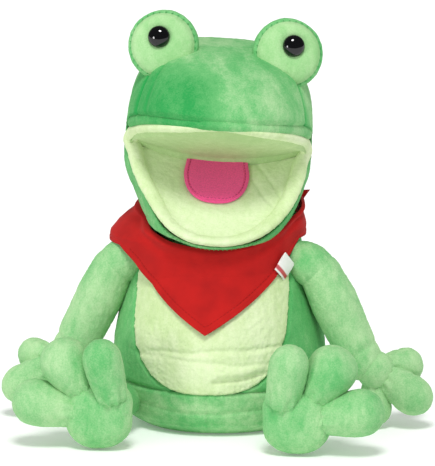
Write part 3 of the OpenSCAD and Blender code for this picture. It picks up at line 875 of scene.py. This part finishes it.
        # the foam boards lie between the mouth's cloth and the skins outside it
        inner = (slice(12, -12, 4), slice(10, -8, 4))
        boards = (("palate_foam", "palate_board", roof_points, (0, 0, 5), None),
                  ("jaw_foam", "jaw_board", bed_points, (0, -3, -5), bend))
        for name, node_name, cloth, away, bending in boards:
            sheet = cloth[inner] + np.array(away, float)
            foam = surface(name, from_head(sheet), cloth_of("foam_board"), outside=from_head((0, -60, 0)),
                thick=2)
            settle(foam, node_name, ride="head", blend=bending)
        return {"FINISHED"}

    def tongue(self, bend):
        """Felt, as wide as two fingers: straight sides at the crease and a round end, with a stitched line
        inside its edge."""
        v = columns(0, 1, 90)
        u = rows(-1, 1, 90)

        def width(v):
            """Half its width, v along it: nearly straight, then the end of a superellipse."""
            end = np.clip(1 - np.clip((v - 0.35) / 0.65, 0, 1) ** 2.3, 0, 1) ** (1 / 2.3)
            return TONGUE_HALF_W * (0.93 + 0.07 * ease(v / 0.4)) * end

        def sag(p, f):
            """The points let down into the crease, f forward of the hinge."""
            drop = crease(p[..., 0]) * np.clip(1 - f / 94, 0, 1) ** 2
            return p + np.stack([0 * p[..., 0], 0 * p[..., 0], drop], -1)

        edge_gap = np.minimum(width(v) * (1 - np.abs(u)), TONGUE_L * (1 - v) + 0 * u)
        up = 1.6 + 0.8 * ease(edge_gap / 3) - 0.7 * bell(edge_gap - 3.4, 0.8)
        p = sag(jaw(u * width(v), TONGUE_L * v + 0 * u, up), TONGUE_L * v + 0 * u)
        tongue = surface("felt_tongue", from_head(p), cloth_of("pink_felt"),
            outside=from_head((0, -60, 10)), thick=1.6)
        settle(tongue, "tongue", blend=bend)
        a = np.linspace(0, 1, 200)
        right = np.stack([width(a[:-8]) - 3.4, TONGUE_L * a[:-8] - 3.4 * a[:-8] ** 6], 1)
        right = right[right[:, 0] > 0]
        line = np.vstack([right, (right * [-1, 1])[::-1]])
        path = spaced(from_head(sag(jaw(line[:, 0], line[:, 1], 2.2), line[:, 1])), 300)
        normal = np.tile(HEAD_TURNS @ np.array([0, -math.sin(math.radians(JAW_DROP)),
            math.cos(math.radians(JAW_DROP))]), (300, 1))
        sewn = stitch_row("tongue_stitches", path, normal, cloth_of("pink_thread"), 3.1, 2.3, 0.42)
        settle(sewn, blend=bend)


# ---- eyes ----

def from_eye(p, s):
    k = 1 if s == "left" else -1
    q = p @ turn_x(75).T @ turn_z(8).T + EYE_AT
    return from_head(q * np.array([k, 1, 1]))


class PUPPET_OT_eyes(Operator):
    """Sew the eye cushions and set the plastic eyes in them"""
    bl_idname = "puppet.build_eyes"
    bl_label = "Eyes"

    def execute(self, context):
        for s in SIDES:
            lens = lambda r: EYE_HALF_T * np.clip(1 - np.abs(r / EYE_R) ** 2.3, 0, 1) ** (1 / 2.1)
            bead = np.array([BEAD_OFF[0], BEAD_OFF[1], 0.0])
            dimple = lambda p: -2.2 * bell(np.linalg.norm(p[..., :2] - bead[:2], axis=-1) - 6, 5.5)
            r = EYE_SEAM_R * np.sin(np.linspace(0, 1, 80) * np.pi / 2)
            p = spun(r, lens(r), 200)
            seam = furrow(EYE_SEAM_R - np.linalg.norm(p[..., :2], axis=-1), 1.5, 1.6)
            p[..., 2] += dimple(p) + seam + pile(p + EYE_AT, 0.7, 0.3)
            front = surface(f"eye_cloth_{s}", from_eye(p, s), cloth_of("eye_plush"), (False, True),
                inside=from_eye(np.array([0.0, 0, -10]), s), thick=1.5, level=0.62, swing=0.35)
            settle(front, f"eye_front_{s}", ride="head")
            t = np.linspace(0, 1, 110)
            bow = (np.pi / 2 - (np.pi / 2 - math.asin(EYE_SEAM_R / EYE_R))
                + t * (np.pi - math.asin(EYE_SEAM_R / EYE_R)))
            r = EYE_R * np.sin(bow)
            r[0], r[-1] = EYE_SEAM_R, 0
            p = spun(r, np.where(bow < np.pi / 2, lens(r), -lens(r)), 200)
            rr = np.linalg.norm(p[..., :2], axis=-1)
            seam = np.where(bow[:, None] < np.pi / 2, furrow(rr - EYE_SEAM_R, 1.5, 1.6), 0)
            p[..., 2] += seam
            p = (p + unit(p) * (pile(p + EYE_AT, 0.7, 0.35) + 0.6 * bell(rr - 29, 1.2))[..., None]
                * np.where(rr > EYE_SEAM_R + 0.05, 1, 0)[..., None])
            back = surface(f"eye_back_cloth_{s}", from_eye(p, s), cloth_of("green_plush"), (False, True),
                inside=from_eye(np.array([0.0, 0, 0]), s), level=0.5)
            settle(back, f"eye_back_{s}", ride="head")
            ring = np.linspace(0, 2 * np.pi, 240)
            path = np.stack([EYE_STITCH_R * np.cos(ring), EYE_STITCH_R * np.sin(ring), lens(EYE_STITCH_R)
                + 0.2 + 0 * ring], 1)
            away = np.stack([np.cos(ring), np.sin(ring), 0.7 + 0 * ring], 1)
            normal = from_eye(path + away, s) - from_eye(path, s)
            sewn = stitch_row(f"eye_stitches_{s}", from_eye(path, s), normal, cloth_of("thread"), 5.2, 2.2,
                0.3, 55)
            settle(sewn, ride="head")
            # the plastic eye: a dome with a rounded edge that presses into the cloth
            bead_z = lens(np.hypot(*BEAD_OFF)) - 1.4
            t = np.linspace(0, np.pi, 60)
            r = 1.05 * BEAD_R * np.sin(t) ** 0.9
            p = spun(r, bead_z + np.where(t < np.pi / 2, 6.4, 3.0) * np.cos(t), 96) + bead
            dome = surface(f"plastic_eye_{s}", from_eye(p, s), cloth_of("black_plastic"), (False, True))
            settle(dome, f"eye_bead_{s}", ride="head")
            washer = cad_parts[f"eye_washer_{s}"]
            washer.data.materials.clear()
            washer.data.materials.append(cloth_of("white_plastic"))
        return {"FINISHED"}


# ---- body ----

def torso_r(z):
    """The torso's radius at height z: a quarter ellipse under the widest part, and half a cosine wave above
    it."""
    z = np.asarray(z, float)
    under = RIM_R + (BELLY_R - RIM_R) * np.sqrt(np.clip(1 - ((BELLY_Z - z) / BELLY_Z) ** 2, 0, 1))
    above = (CHEST_R + (BELLY_R - CHEST_R)
        * (1 + np.cos(np.radians(np.clip(180 * (z - BELLY_Z) / 110, 0, 180)))) / 2)
    return np.where(z < BELLY_Z, under, above)


def torso_point(a, z, out=0.0):
    """A point of the torso at angle a round it, in radians, 0 in front."""
    r = torso_r(z) + out
    return np.stack(np.broadcast_arrays(r * np.sin(a), -r * np.cos(a), z + 0 * a), axis=-1)


def belly_share(a, z):
    """How far out in the belly panel's outline a place is, 1 on its edge: a superellipse 134 mm wide and
    148 mm tall."""
    x = torso_r(z) * np.sin(a)
    return ((np.abs(x / 67) ** BELLY_POWER + np.abs((z - BELLY_AT_Z) / 74) ** BELLY_POWER) ** (1
        / BELLY_POWER) + np.where(np.cos(a) < 0, 2, 0))


def body_folds(p):
    """Soft creases of the cloth low on the belly, where the puppet sits: a long one right across and a
    short deep one to its left."""
    a = np.arctan2(p[..., 0], -p[..., 1])
    z = p[..., 2]
    wave = 2.5 * clumps(p, 26, 8)
    front = ease((1.1 - np.abs(a)) / 0.5)
    out = -1.6 * bell(z - 76 - wave - 5 * a, 2.6) * front * ease((a + 0.9) / 0.5)
    out -= 1.0 * bell(z - 67 - wave * 1.3 + 4 * a, 2.2) * front
    out -= 2.4 * bell(z - 50 - 13 * (a - 0.1) - wave, 2.6) * ease((a - 0.02) / 0.1) * ease((0.66 - a) / 0.2)
    out += 2.0 * bell(z - 57 - 13 * (a - 0.1) - wave, 4.5) * ease((a - 0.02) / 0.1) * ease((0.66 - a) / 0.2)
    out -= 1.1 * bell(z - 24 - wave + 3 * np.cos(3 * a), 2.0) * front
    out -= 0.9 * bell(z - 12 - wave, 1.8)
    return out


class PUPPET_OT_body(Operator):
    """Sew the body: torso, belly panel, hem band, base, sleeve and neck"""
    bl_idname = "puppet.build_body"
    bl_label = "Body"

    def execute(self, context):
        green, pale = cloth_of("green_plush"), cloth_of("light_plush")
        a = rows(-np.pi, np.pi, 500, endpoint=False)
        t = columns(0, 1, 200)
        # the neckline is lower in front, and its edge rolls in round the neck
        top = np.minimum(176, 152 + 0.4 * (77 - 69 * np.cos(a)))
        z = HEM_H + (top - HEM_H) * np.clip(t / 0.86, 0, 1)
        roll = ease((t - 0.86) / 0.14)
        p = torso_point(a, z)
        share = belly_share(a, z)
        out = pile(p, 1.2, 0.35) + body_folds(p) + furrow(z - HEM_H)
        out = out - 3.0 * ease((1.03 - share) / 0.05) + furrow((np.abs(np.abs(a) - np.pi) * 80), 1.2)
        p = torso_point(a, z, out)
        p[..., :2] *= (1 - 0.2 * roll)[..., None]
        p[..., 2] -= 8 * roll ** 2
        shell = surface("torso_plush", p, green, (True, False), inside=(0, 0, 100), thick=2,
            nap=nap_of(p, 0.42, 0.3))
        settle(shell, ("torso_shell", "torso_wadding"), ride="torso")
        # the belly panel: a pillow of paler plush over its outline
        rho = rows(0, 1, 110)
        way = columns(0, 2 * np.pi, 560, endpoint=False)
        x = 66.5 * rho * power(np.cos(way), 2 / BELLY_POWER)
        z = BELLY_AT_Z + 73.5 * rho * power(np.sin(way), 2 / BELLY_POWER)
        z = np.clip(z, 0, 160)
        a = np.arcsin(np.clip(x / torso_r(z), -1, 1))
        base = torso_point(a, z)
        tufts = 1.1 * np.abs(clumps(base, 2.2, 12)) * ease((rho - 0.9) / 0.08)
        puff = 2.2 * np.clip(1 - rho ** 9, 0, 1) - 2.0 * ease((rho - 0.975) / 0.025) + tufts
        centre = furrow(base[..., 0] - 1.5, 1.0, 1.2) * ease((78 - z) / 6) * (rho > 0.05)
        p = torso_point(a, z, puff + pile(base, 1.2, 0.6) + body_folds(base) + centre)
        belly = surface("belly_plush", p, pale, (False, True), inside=(0, 0, 100), thick=1.5,
            nap=nap_of(p, 0.66, 0.3))
        settle(belly, "belly_panel", ride="torso")
        # the hem band turns under to the base
        a = rows(-np.pi, np.pi, 500, endpoint=False)
        t = columns(0, 1, 90)
        z = HEM_H * (1 - t) ** 1.35
        z = z + (7 * (0.5 + 0.5 * np.cos(a)) + 1) * t ** 2
        base = torso_point(a, z)
        out = (pile(base, 1.0, 0.35) + body_folds(base) + furrow(HEM_H - z) + furrow(base[..., 0] - 1.5,
            1.2, 1.4) * (np.cos(a) > 0))
        p = torso_point(a, z, out)
        under = ease((t - 0.82) / 0.18)[..., None]
        p = (p * (1 - under) + np.stack(np.broadcast_arrays(HEM_R * np.sin(a), -HEM_R * np.cos(a), HEM_Z
            + 0 * t), -1) * under)
        hem = surface("hem_plush", p, green, (True, False), inside=(0, 0, 100), thick=2,
            nap=nap_of(p * [1, 1, 2.5], 0.6, 0.35))
        settle(hem, "hem_band", ride="torso")
        t = np.linspace(0, 1, 40)
        r = HEM_R + (SLEEVE_R - HEM_R) * t
        p = spun(r, HEM_Z - HEM_Z * np.sin(np.pi * t) ** 0.5, 360)
        p[..., 2] += np.clip(pile(p, 0.4, 0.2), 0, 1)
        base = surface("base_plush", p, green, (False, True), outside=(0, 0, -500), thick=2)
        settle(base, "base_panel", ride="torso")
        # the sleeve for the hand, and the soft neck inside the collar
        z = np.linspace(1, SLEEVE_H, 100)
        p = spun(SLEEVE_R + 1 + 0 * z, z, 240)
        way = np.arctan2(p[..., 0], -p[..., 1])
        p[..., :2] *= (1 + 0.012 * np.sin(way * 9 + 0.05 * p[..., 2]) * clumps(p, 30, 4))[..., None]
        sleeve = surface("sleeve_cloth", p, cloth_of("lining_cloth"), (False, True), outside=(0, 0, 75),
            thick=-1.2)
        settle(sleeve, "sleeve_lining", ride="torso")
        for name, body, r, low, high, slot in (("neck_plush", "neck", 52.5, 156, 177, "green_plush"),
                ("neck_cloth", "neck_liner", 38, 155, 172, "lining_cloth")):
            z = np.linspace(low, high, 24)
            p = spun(r + 0 * z, z, 200)
            way = np.arctan2(p[..., 0], -p[..., 1])
            slant = np.clip((p[..., 1] + 60) / 60, 0, 1) if body == "neck" else 1
            p[..., 2] = low + (p[..., 2] - low) * (0.35 + 0.65 * slant)
            p[..., :2] *= (1 + 0.012 * np.sin(way * 11))[..., None]
            neck = surface(name, p, cloth_of(slot), (False, True), inside=(0, 0, 165), thick=1.5)
            settle(neck, "neck_tube" if body == "neck" else "neck_lining", ride=body)
        return {"FINISHED"}


# ---- bandana ----

def scarf_top(a):
    return 164 + 27 * (1 - np.cos(np.radians(np.minimum(180, 1.7 * np.abs(a))))) / 2


def scarf_low(a):
    return np.minimum(np.where(a < 0, 157, 164), 92 + 0.98 * np.abs(a))


def scarf_point(a, z, out=0.0):
    """The bandana lies on the chest and flares over the shoulders: a is its angle round the neck in
    degrees."""
    over = np.sin(np.radians(np.abs(a))) ** 4
    flare = np.where(a < 0, 18, -2)
    r = np.maximum(torso_r(z) + 2, 75 + over * flare * np.clip((192 - z) / 27, 0, 1)
        - 8 * np.clip((z - 172) / 22, 0, 1))
    r = r - 10 * bell(a + 62, 22) * np.clip((z - 163) / 16, 0, 1)
    r = r + 3 * np.clip(np.cos(np.radians(a)), 0, 1) * np.clip((150 - z) / 60, 0, 1) + out
    w = np.radians(a)
    return np.stack(np.broadcast_arrays(r * np.sin(w), -r * np.cos(w), z + 0 * w), axis=-1)


class PUPPET_OT_bandana(Operator):
    """Drape the bandana with its knot, tails, stitched hem and ribbon label"""
    bl_idname = "puppet.build_bandana"
    bl_label = "Bandana"

    def execute(self, context):
        red = cloth_of("red_cotton")
        t_cloth = context.scene.puppet_sizes.cloth / MM
        a = rows(-180, 180, 640, endpoint=False)
        t = columns(0, 1, 120)

        def drape(a, t):
            """Folds that run down from the neck: two pulled from the sides to the point, and small ones
            over the shoulders, with a rolled upper edge."""
            top, low = scarf_top(a), scarf_low(a)
            z = top + (low - top) * t
            side = np.abs(a)
            pull = 1.4 * np.sin(np.radians(a) * 9 + 1.2) * ease((side - 35) / 40) * (1 - 0.4 * t)
            slack = 1.0 * bell(side - 26 - 20 * t, 7) - 0.9 * bell(side - 38 - 16 * t, 6)
            roll = 1.8 * bell(t - 0.05, 0.09) - 1.3 * bell(t - 0.25, 0.1) - 3.5 * bell(t + 0.02, 0.06)
            soft = 1.0 * clumps(np.stack(np.broadcast_arrays(a * 1.3, z, 0 * z), -1), 22, 14)
            hem = 0.5 * ease((t - 0.88) / 0.03)
            return scarf_point(a, z, 1.2 + pull + slack + roll + soft + hem)

        p = drape(a, t)
        scarf = surface("bandana_cloth", p, red, (True, False), inside=(0, 0, 140), thick=t_cloth, nap=0.5)
        settle(scarf, "bandana", ride="torso")
        b = np.linspace(-57, 57, 500)
        t_hem = 1 - 7.0 / np.maximum(scarf_top(b) - scarf_low(b), 12)
        path = drape(b, t_hem) + unit(scarf_point(b, 0 * b + 120) * [1, 1, 0]) * 0.15
        sewn = stitch_row("hem_stitches", path, path * [1, 1, 0], cloth_of("red_thread"), 3.4, 2.5, 0.32)
        settle(sewn, ride="torso")
        for s, tip, fan in (("left", (69, 68, 188), (-14, 6, -20)), ("right", (-52, 88, 152), (14, 4, -16))):
            self.tail(s, tip, fan)
        # the knot: a pulled loop, wider than it is thick, with folds that run to its middle
        w = np.linspace(0, np.pi, 70)
        p = spun(KNOT_R * np.sin(w) ** 0.8, KNOT_HALF_W * np.cos(w), 120)
        way = np.arctan2(p[..., 0], p[..., 1])
        p[..., :2] *= (1 + 0.09 * np.sin(way * 5 + 0.22 * p[..., 2]) + 0.1 * np.cos(p[..., 2] / KNOT_HALF_W
            * np.pi))[..., None]
        knot = surface("scarf_knot", aimed(p, KNOT_AT, KNOT_AT + np.array([1.0, 0, 0.1])), red,
            (False, True), nap=0.5)
        settle(knot, "bandana_knot", ride="torso")
        self.label()
        return {"FINISHED"}

    def tail(self, side, tip, fan):
        """A loose end: a strip that opens from the knot towards its slanted end, with one fold along it."""
        tip, fan = np.array(tip, float), np.array(fan, float)
        start = KNOT_AT + np.array([math.copysign(11, tip[0]), 0, 0])
        u, v = rows(-1, 1, 50), columns(0, 1, 70)
        a, b = start + np.array([0, 0, 3.5]), start - np.array([0, 0, 3.5])
        ends = [a + (tip - a) * v[..., None], b + (tip + fan - b) * v[..., None]]
        p = ends[0] * (1 - u)[..., None] / 2 + ends[1] * (1 + u)[..., None] / 2
        out = unit(p * [1, 1, 0])
        p = (p + out * (1.6 * np.cos(u * 4.2) * np.sin(v * np.pi * 0.9 + 0.2) + 1.0 * clumps(p, 14, 15)
            * v)[..., None])
        tail = surface(f"scarf_tail_{side}", p, cloth_of("red_cotton"), inside=(0, 0, 170), thick=1.2,
            nap=0.5)
        settle(tail, f"bandana_tail_{side}", ride="torso")

    def label(self):
        """A folded ribbon sewn under the bandana's edge, 19 mm wide, with plain woven stripes and no
        words."""
        a = LABEL_ANGLE
        z = float(scarf_low(a)) + 2
        root = scarf_point(np.array(a), np.array(z), 4.0)
        turn = turn_z(a) @ turn_x(8) @ turn_y(42)
        u, v = rows(-0.5, 0.5, 40), columns(0, 1, 90)
        down = -LABEL_FOLD * (1 - np.abs(2 * v - 1))
        gap = 0.9 * np.cos(np.pi * v) * (1 - np.abs(2 * v - 1) ** 6)
        bow = 1.5 * np.sin(np.pi * (u + 0.5)) * (down / LABEL_FOLD)
        p = np.stack(np.broadcast_arrays(LABEL_W * u, -gap + bow, down), -1) @ turn.T + root
        across = np.abs(down + 3) / LABEL_FOLD + 0 * u
        tag = surface("ribbon_label", p, cloth_of("white_satin"), thick=0.35, inside=(0, 0, 120), nap=across)
        settle(tag, "label_tag", ride="torso")


# ---- limbs ----

def lobe(length, r, root=0.5, bulb=0.6, flat=1.0, ring=None, steps=90, around=140):
    """A stuffed lobe along +Z: a narrow root that widens by a sine to a bulb and closes round, with a cap
    behind the root that goes into its neighbour. flat thins it across."""
    back = root * r * 0.75
    z = np.concatenate([-back * np.cos(np.linspace(0, np.pi / 2, 16, endpoint=False)),
        length * (1 - np.cos(np.linspace(0, np.pi, steps))) / 2])
    t = z / length
    rad = (r * np.where(t < bulb, root + (1 - root) * np.sin(np.clip(t / bulb, 0, 1) * np.pi / 2),
        np.sqrt(np.clip(1 - ((t - bulb) / (1 - bulb)) ** 2, 0, 1))))
    rad = np.where(z < 0, root * r * np.sqrt(np.clip(1 - (z / back) ** 2, 0, 1)), rad)
    p = spun(rad, z, around)
    p[..., 1] *= flat
    return p


def plump(name, p, material, level=0.66, swing=0.3, seam=None, wrap=(False, True), tucks=None):
    """A stuffed piece: its grid stands out by its pile, sinks along a seam, and puckers where it is
    gathered."""
    out = pile(p, 0.9, 0.35)
    if seam is not None:
        out = out + seam
    if tucks is not None:
        out = out + tucks
    return surface(name, shifted(p, out, wrap), material, wrap, level=level, swing=swing)


def puckers(p_local, reach, count=9, depth=0.7):
    """Small gathers round a lobe's root that fade along it."""
    way = np.arctan2(p_local[..., 0], p_local[..., 1])
    return depth * np.sin(count * way) * ease(1 - p_local[..., 2] / reach)


def mirrored(p, s):
    return np.asarray(p, float) * np.array([1 if s == "left" else -1, 1, 1])


def ellipsoid(r, half_h, steps, around):
    w = np.linspace(0, np.pi, steps)
    return spun(r * np.sin(w), -half_h * np.cos(w), around)


def limb(length, places, radii, back, front, counts):
    """Radii and heights of a limb. Its radius runs between those given, and it ends in half ellipses back
    and front long."""
    turn = np.linspace(0, np.pi / 2, counts[0], endpoint=False)
    cap = np.linspace(0, np.pi / 2, 25)[1:]
    t = np.concatenate([-back * np.cos(turn), np.linspace(0, length, counts[1]), length
        + front * np.sin(cap)])
    past = np.where(t < 0, t / back, np.maximum(t - length, 0) / front)
    return np.interp(t, np.array(places) * length, radii) * np.sqrt(np.clip(1 - past ** 2, 0, 1)), t


# Each finger: its name, the way it leaves the palm, its tip and its radius
FINGERS = (
    ("low", (-0.05, 0, -1), (137, -22, 2.5), 14),
    ("long", (0.86, 0, -0.5), (184, -22, 19), 16.5),
    ("back", (0.78, 0.6, 0.1), (172, 8, 50), 15.5),
)


class PUPPET_OT_arms(Operator):
    """Stuff the arms: shoulders, long arms, palms and fingers"""
    bl_idname = "puppet.build_arms"
    bl_label = "Arms"

    def execute(self, context):
        green = cloth_of("green_plush")
        for s in SIDES:
            p = aimed(ellipsoid(18.5, 26, 90, 160), SHOULDER_AT + [-9, 0, 1], SHOULDER_AT + [0, 0, -5])
            ball = plump(f"shoulder_plush_{s}", mirrored(p, s), green, 0.74)
            settle(ball, f"shoulder_{s}", ride=f"shoulder_{s}")
            # the arm: round ends, with a seam down its front
            way = unit(WRIST_AT - SHOULDER_AT)
            start, end = SHOULDER_AT + [0, 0, -7], WRIST_AT + 3 * way
            length = np.linalg.norm(end - start)
            rad, t = limb(length, (0, 0.3, 0.75, 1), (18.5, 20.5, 19, 17.5), 18.5, 17, (24, 120))
            local = spun(rad, t, 180)
            lane = np.arctan2(local[..., 0], -local[..., 1])
            p = aimed(local, start, end)
            seam_way = np.arctan2(np.sin(lane - 2.9), np.cos(lane - 2.9)) * 19
            seam = furrow(seam_way, 1.6, 1.3)
            bends = -1.0 * bell(local[..., 2] - 0.9 * length - 3 * np.sin(lane), 3)
            arm = plump(f"arm_plush_{s}", mirrored(p, s), green, 0.8, 0.3, seam + bends)
            settle(arm, f"arm_{s}", blend=(f"arm_{s}", f"hand_{s}",
                mirrored(WRIST_AT - 6 * way, s), mirrored(WRIST_AT + 10 * way, s)))
            palm = WRIST_AT + (PALM_R + 0.8) * np.array([0.76, 0, -0.65])
            p = aimed(ellipsoid(16.5, 16.5, 70, 120), palm, palm + np.array([1, 0, -0.8]))
            hand = plump(f"palm_plush_{s}", mirrored(p, s), green, 0.76)
            settle(hand, f"palm_{s}", ride=f"hand_{s}")
            for name, d, tip, r in FINGERS:
                d, tip = unit(np.array(d, float)), np.array(tip, float)
                root = palm + (PALM_R - 5) * d
                local = lobe(np.linalg.norm(tip - root), r, 0.66, 0.6, 0.95)
                p = aimed(local, root, tip)
                crease_in = (-1.2 * bell(local[..., 2] - 0.42 * np.linalg.norm(tip - root), 2.0)
                    * (0.5 + 0.5 * np.cos(np.arctan2(local[..., 0], local[..., 1]))))
                finger = plump(f"finger_{name}_plush_{s}", mirrored(p, s), green, 0.78, 0.3, crease_in,
                    tucks=puckers(local, 16))
                base = palm + (PALM_R + 0.5) * d
                settle(finger, f"finger_{name}_{s}",
                    blend=(f"hand_{s}", f"finger_{name}_{s}", mirrored(base - 3 * d, s),
                    mirrored(base + 7 * d, s)))
        return {"FINISHED"}


def cushion(outline, half_t, centre, count=150):
    """A pillow facing -Y: rings that shrink from the outline, which is given as points (across, up) round
    its middle, to a pole in front and one behind."""
    x, z = np.array(outline, float).T
    way = np.arctan2(z, x)
    order = np.argsort(way)
    a = np.linspace(-np.pi, np.pi, 240, endpoint=False)
    r = np.interp(a, way[order], np.hypot(x, z)[order], period=2 * np.pi)
    r = softened(r[:, None], 6)[:, 0]
    w = rows(0, np.pi, count)
    share = np.sin(w) ** 0.7
    return (centre + np.stack(np.broadcast_arrays(share * r * np.cos(a), -half_t * power(np.cos(w), 0.9)
        + 0 * a, share * r * np.sin(a)), -1))


PAD_OUTLINE = ((-26, 23), (-28.5, 2), (-26.5, -17), (-2, -28), (25, -17), (28.5, 2), (23, 19), (0, 28))


# Each toe: its name, its root and tip from the foot, its radius and the share of it at the root
TOES = (
    ("middle", (17, 2, 25.5), (41, 3, 62), 21, 0.6),
    ("outer", (30.6, 0, 4.5), (74.5, 0, 13), 20, 0.7),
    ("inner", (-10, -9, 27.4), (-1.5, -17, 68.8), 16.8, 0.84),
)


class PUPPET_OT_feet(Operator):
    """Stuff the legs: thighs, foot pads and toes"""
    bl_idname = "puppet.build_feet"
    bl_label = "Feet"

    def execute(self, context):
        green = cloth_of("green_plush")
        for s in SIDES:
            ankle = FOOT_AT + [-3, 30, -1]
            hip = HIP_AT + [-7, 12, 0]
            way = unit(ankle - hip)
            long = np.linalg.norm(ankle - hip)
            rad, t = limb(long, (0, 1), (13.5, 13.5), 16, 26, (20, 30))
            p = aimed(spun(rad, t, 120), hip, ankle)
            thigh = plump(f"leg_plush_{s}", mirrored(p, s), green, 0.5)
            settle(thigh, f"leg_{s}", blend=(f"leg_{s}", f"foot_{s}",
                mirrored(ankle - 8 * way, s), mirrored(ankle + 12 * way, s)))
            p = cushion(PAD_OUTLINE, 16, FOOT_AT)
            rim = furrow(np.abs(p[..., 1] - FOOT_AT[1]) - 1.0, 0.8, 1.2)
            pad = plump(f"foot_plush_{s}", mirrored(p, s), green, 0.68, 0.3, rim)
            settle(pad, f"foot_pad_{s}", ride=f"foot_{s}")
            for name, a, b, r, root in TOES:
                a, b = FOOT_AT + a, FOOT_AT + b
                d = unit(b - a)
                start = a - 7 * d
                local = lobe(np.linalg.norm(b - start), r, root, 0.62, 0.95)
                p = aimed(local, start, b)
                toe = plump(f"toe_{name}_plush_{s}", mirrored(p, s), green, 0.7, 0.3,
                    tucks=puckers(local, 15))
                settle(toe, f"toe_{name}_{s}", blend=(f"foot_{s}", f"toe_{name}_{s}",
                    mirrored(a - 5 * d, s), mirrored(a + 6 * d, s)))
        return {"FINISHED"}


# ---- stage ----

class PUPPET_OT_stage(Operator):
    """Set the pale floor, the soft lights and the camera"""
    bl_idname = "puppet.build_stage"
    bl_label = "Stage"

    def execute(self, context):
        scene = context.scene
        side = np.linspace(-40000, 40000, 9)
        x, y = np.meshgrid(side, side, indexing="ij")
        white = painted("White studio floor", (0.97, 0.97, 0.97))
        floor = surface("studio_floor", np.stack([x, y, 0 * x - 0.2], -1), white, outside=(0, 0, 9e4))
        world = bpy.data.worlds.new("Studio air")
        scene.world = world
        world.use_nodes = True
        world.node_tree.nodes.clear()
        # a bright room for cloth, and a dim one in reflections, so that the plastic eyes stay black between
        # the softboxes
        ray = node(world.node_tree, "ShaderNodeLightPath")
        room = node(world.node_tree, "ShaderNodeMath", {0: ray.outputs["Is Glossy Ray"], 1: -0.46, 2: 0.57},
            operation="MULTIPLY_ADD").outputs[0]
        sky = node(world.node_tree, "ShaderNodeBackground", {"Color": (1, 1, 1, 1), "Strength": room})
        node(world.node_tree, "ShaderNodeOutputWorld", {"Surface": sky.outputs["Background"]})
        for name, at, width, strength in (("key_softbox", (0.1, -0.62, 1.0), 17, 1.85),
                ("low_softbox", (-0.75, -1.0, 0.12), 14, 0.75)):
            light = bpy.data.lights.new(name, "SUN")
            light.angle, light.energy = math.radians(width), strength
            lamp = bpy.data.objects.new(name, light)
            scene.collection.objects.link(lamp)
            lamp.location = at
            lamp.rotation_mode = "QUATERNION"
            lamp.rotation_quaternion = (-Vector(at)).to_track_quat("-Z", "Y")
        az, el, far = math.radians(CAMERA_TURN), math.radians(CAMERA_RISE), CAMERA_FAR
        look = Vector(LOOK_AT)
        back = Vector((math.sin(az) * math.cos(el), -math.cos(az) * math.cos(el), math.sin(el)))
        camera = bpy.data.objects.new("camera", bpy.data.cameras.new("camera"))
        scene.collection.objects.link(camera)
        camera.data.sensor_width, camera.data.lens = SENSOR, SENSOR * far / FRAME_W
        camera.data.clip_end = 60
        camera.location = look + back * far
        camera.rotation_mode = "QUATERNION"
        camera.rotation_quaternion = (-back).to_track_quat("-Z", "Y")
        scene.camera = camera
        scene.view_settings.view_transform = "Standard"
        return {"FINISHED"}


OPERATORS = (PUPPET_OT_head, PUPPET_OT_mouth, PUPPET_OT_eyes, PUPPET_OT_body, PUPPET_OT_bandana,
    PUPPET_OT_arms, PUPPET_OT_feet, PUPPET_OT_stage)


class PUPPET_PT_panel(Panel):
    """Lists the puppet's colours, sizes and pieces"""
    bl_idname = "PUPPET_PT_panel"
    bl_label = "Frog hand puppet"
    bl_space_type = "VIEW_3D"
    bl_region_type = "UI"
    bl_category = "Puppet"

    def draw(self, context):
        for group in (context.scene.puppet_colours, context.scene.puppet_sizes):
            for key in group.__annotations__:
                self.layout.prop(group, key)
        for each in OPERATORS:
            self.layout.operator(each.bl_idname)


CLASSES = (PuppetColours, PuppetSizes, *OPERATORS, PUPPET_PT_panel)


def register():
    for each in CLASSES:
        bpy.utils.register_class(each)
    bpy.types.Scene.puppet_colours = PointerProperty(type=PuppetColours)
    bpy.types.Scene.puppet_sizes = PointerProperty(type=PuppetSizes)


def unregister():
    del bpy.types.Scene.puppet_sizes
    del bpy.types.Scene.puppet_colours
    for each in reversed(CLASSES):
        bpy.utils.unregister_class(each)


def main():
    register()
    for each in OPERATORS:
        group, name = each.bl_idname.split(".")
        getattr(getattr(bpy.ops, group), name)()


if __name__ == "__main__":
    main()
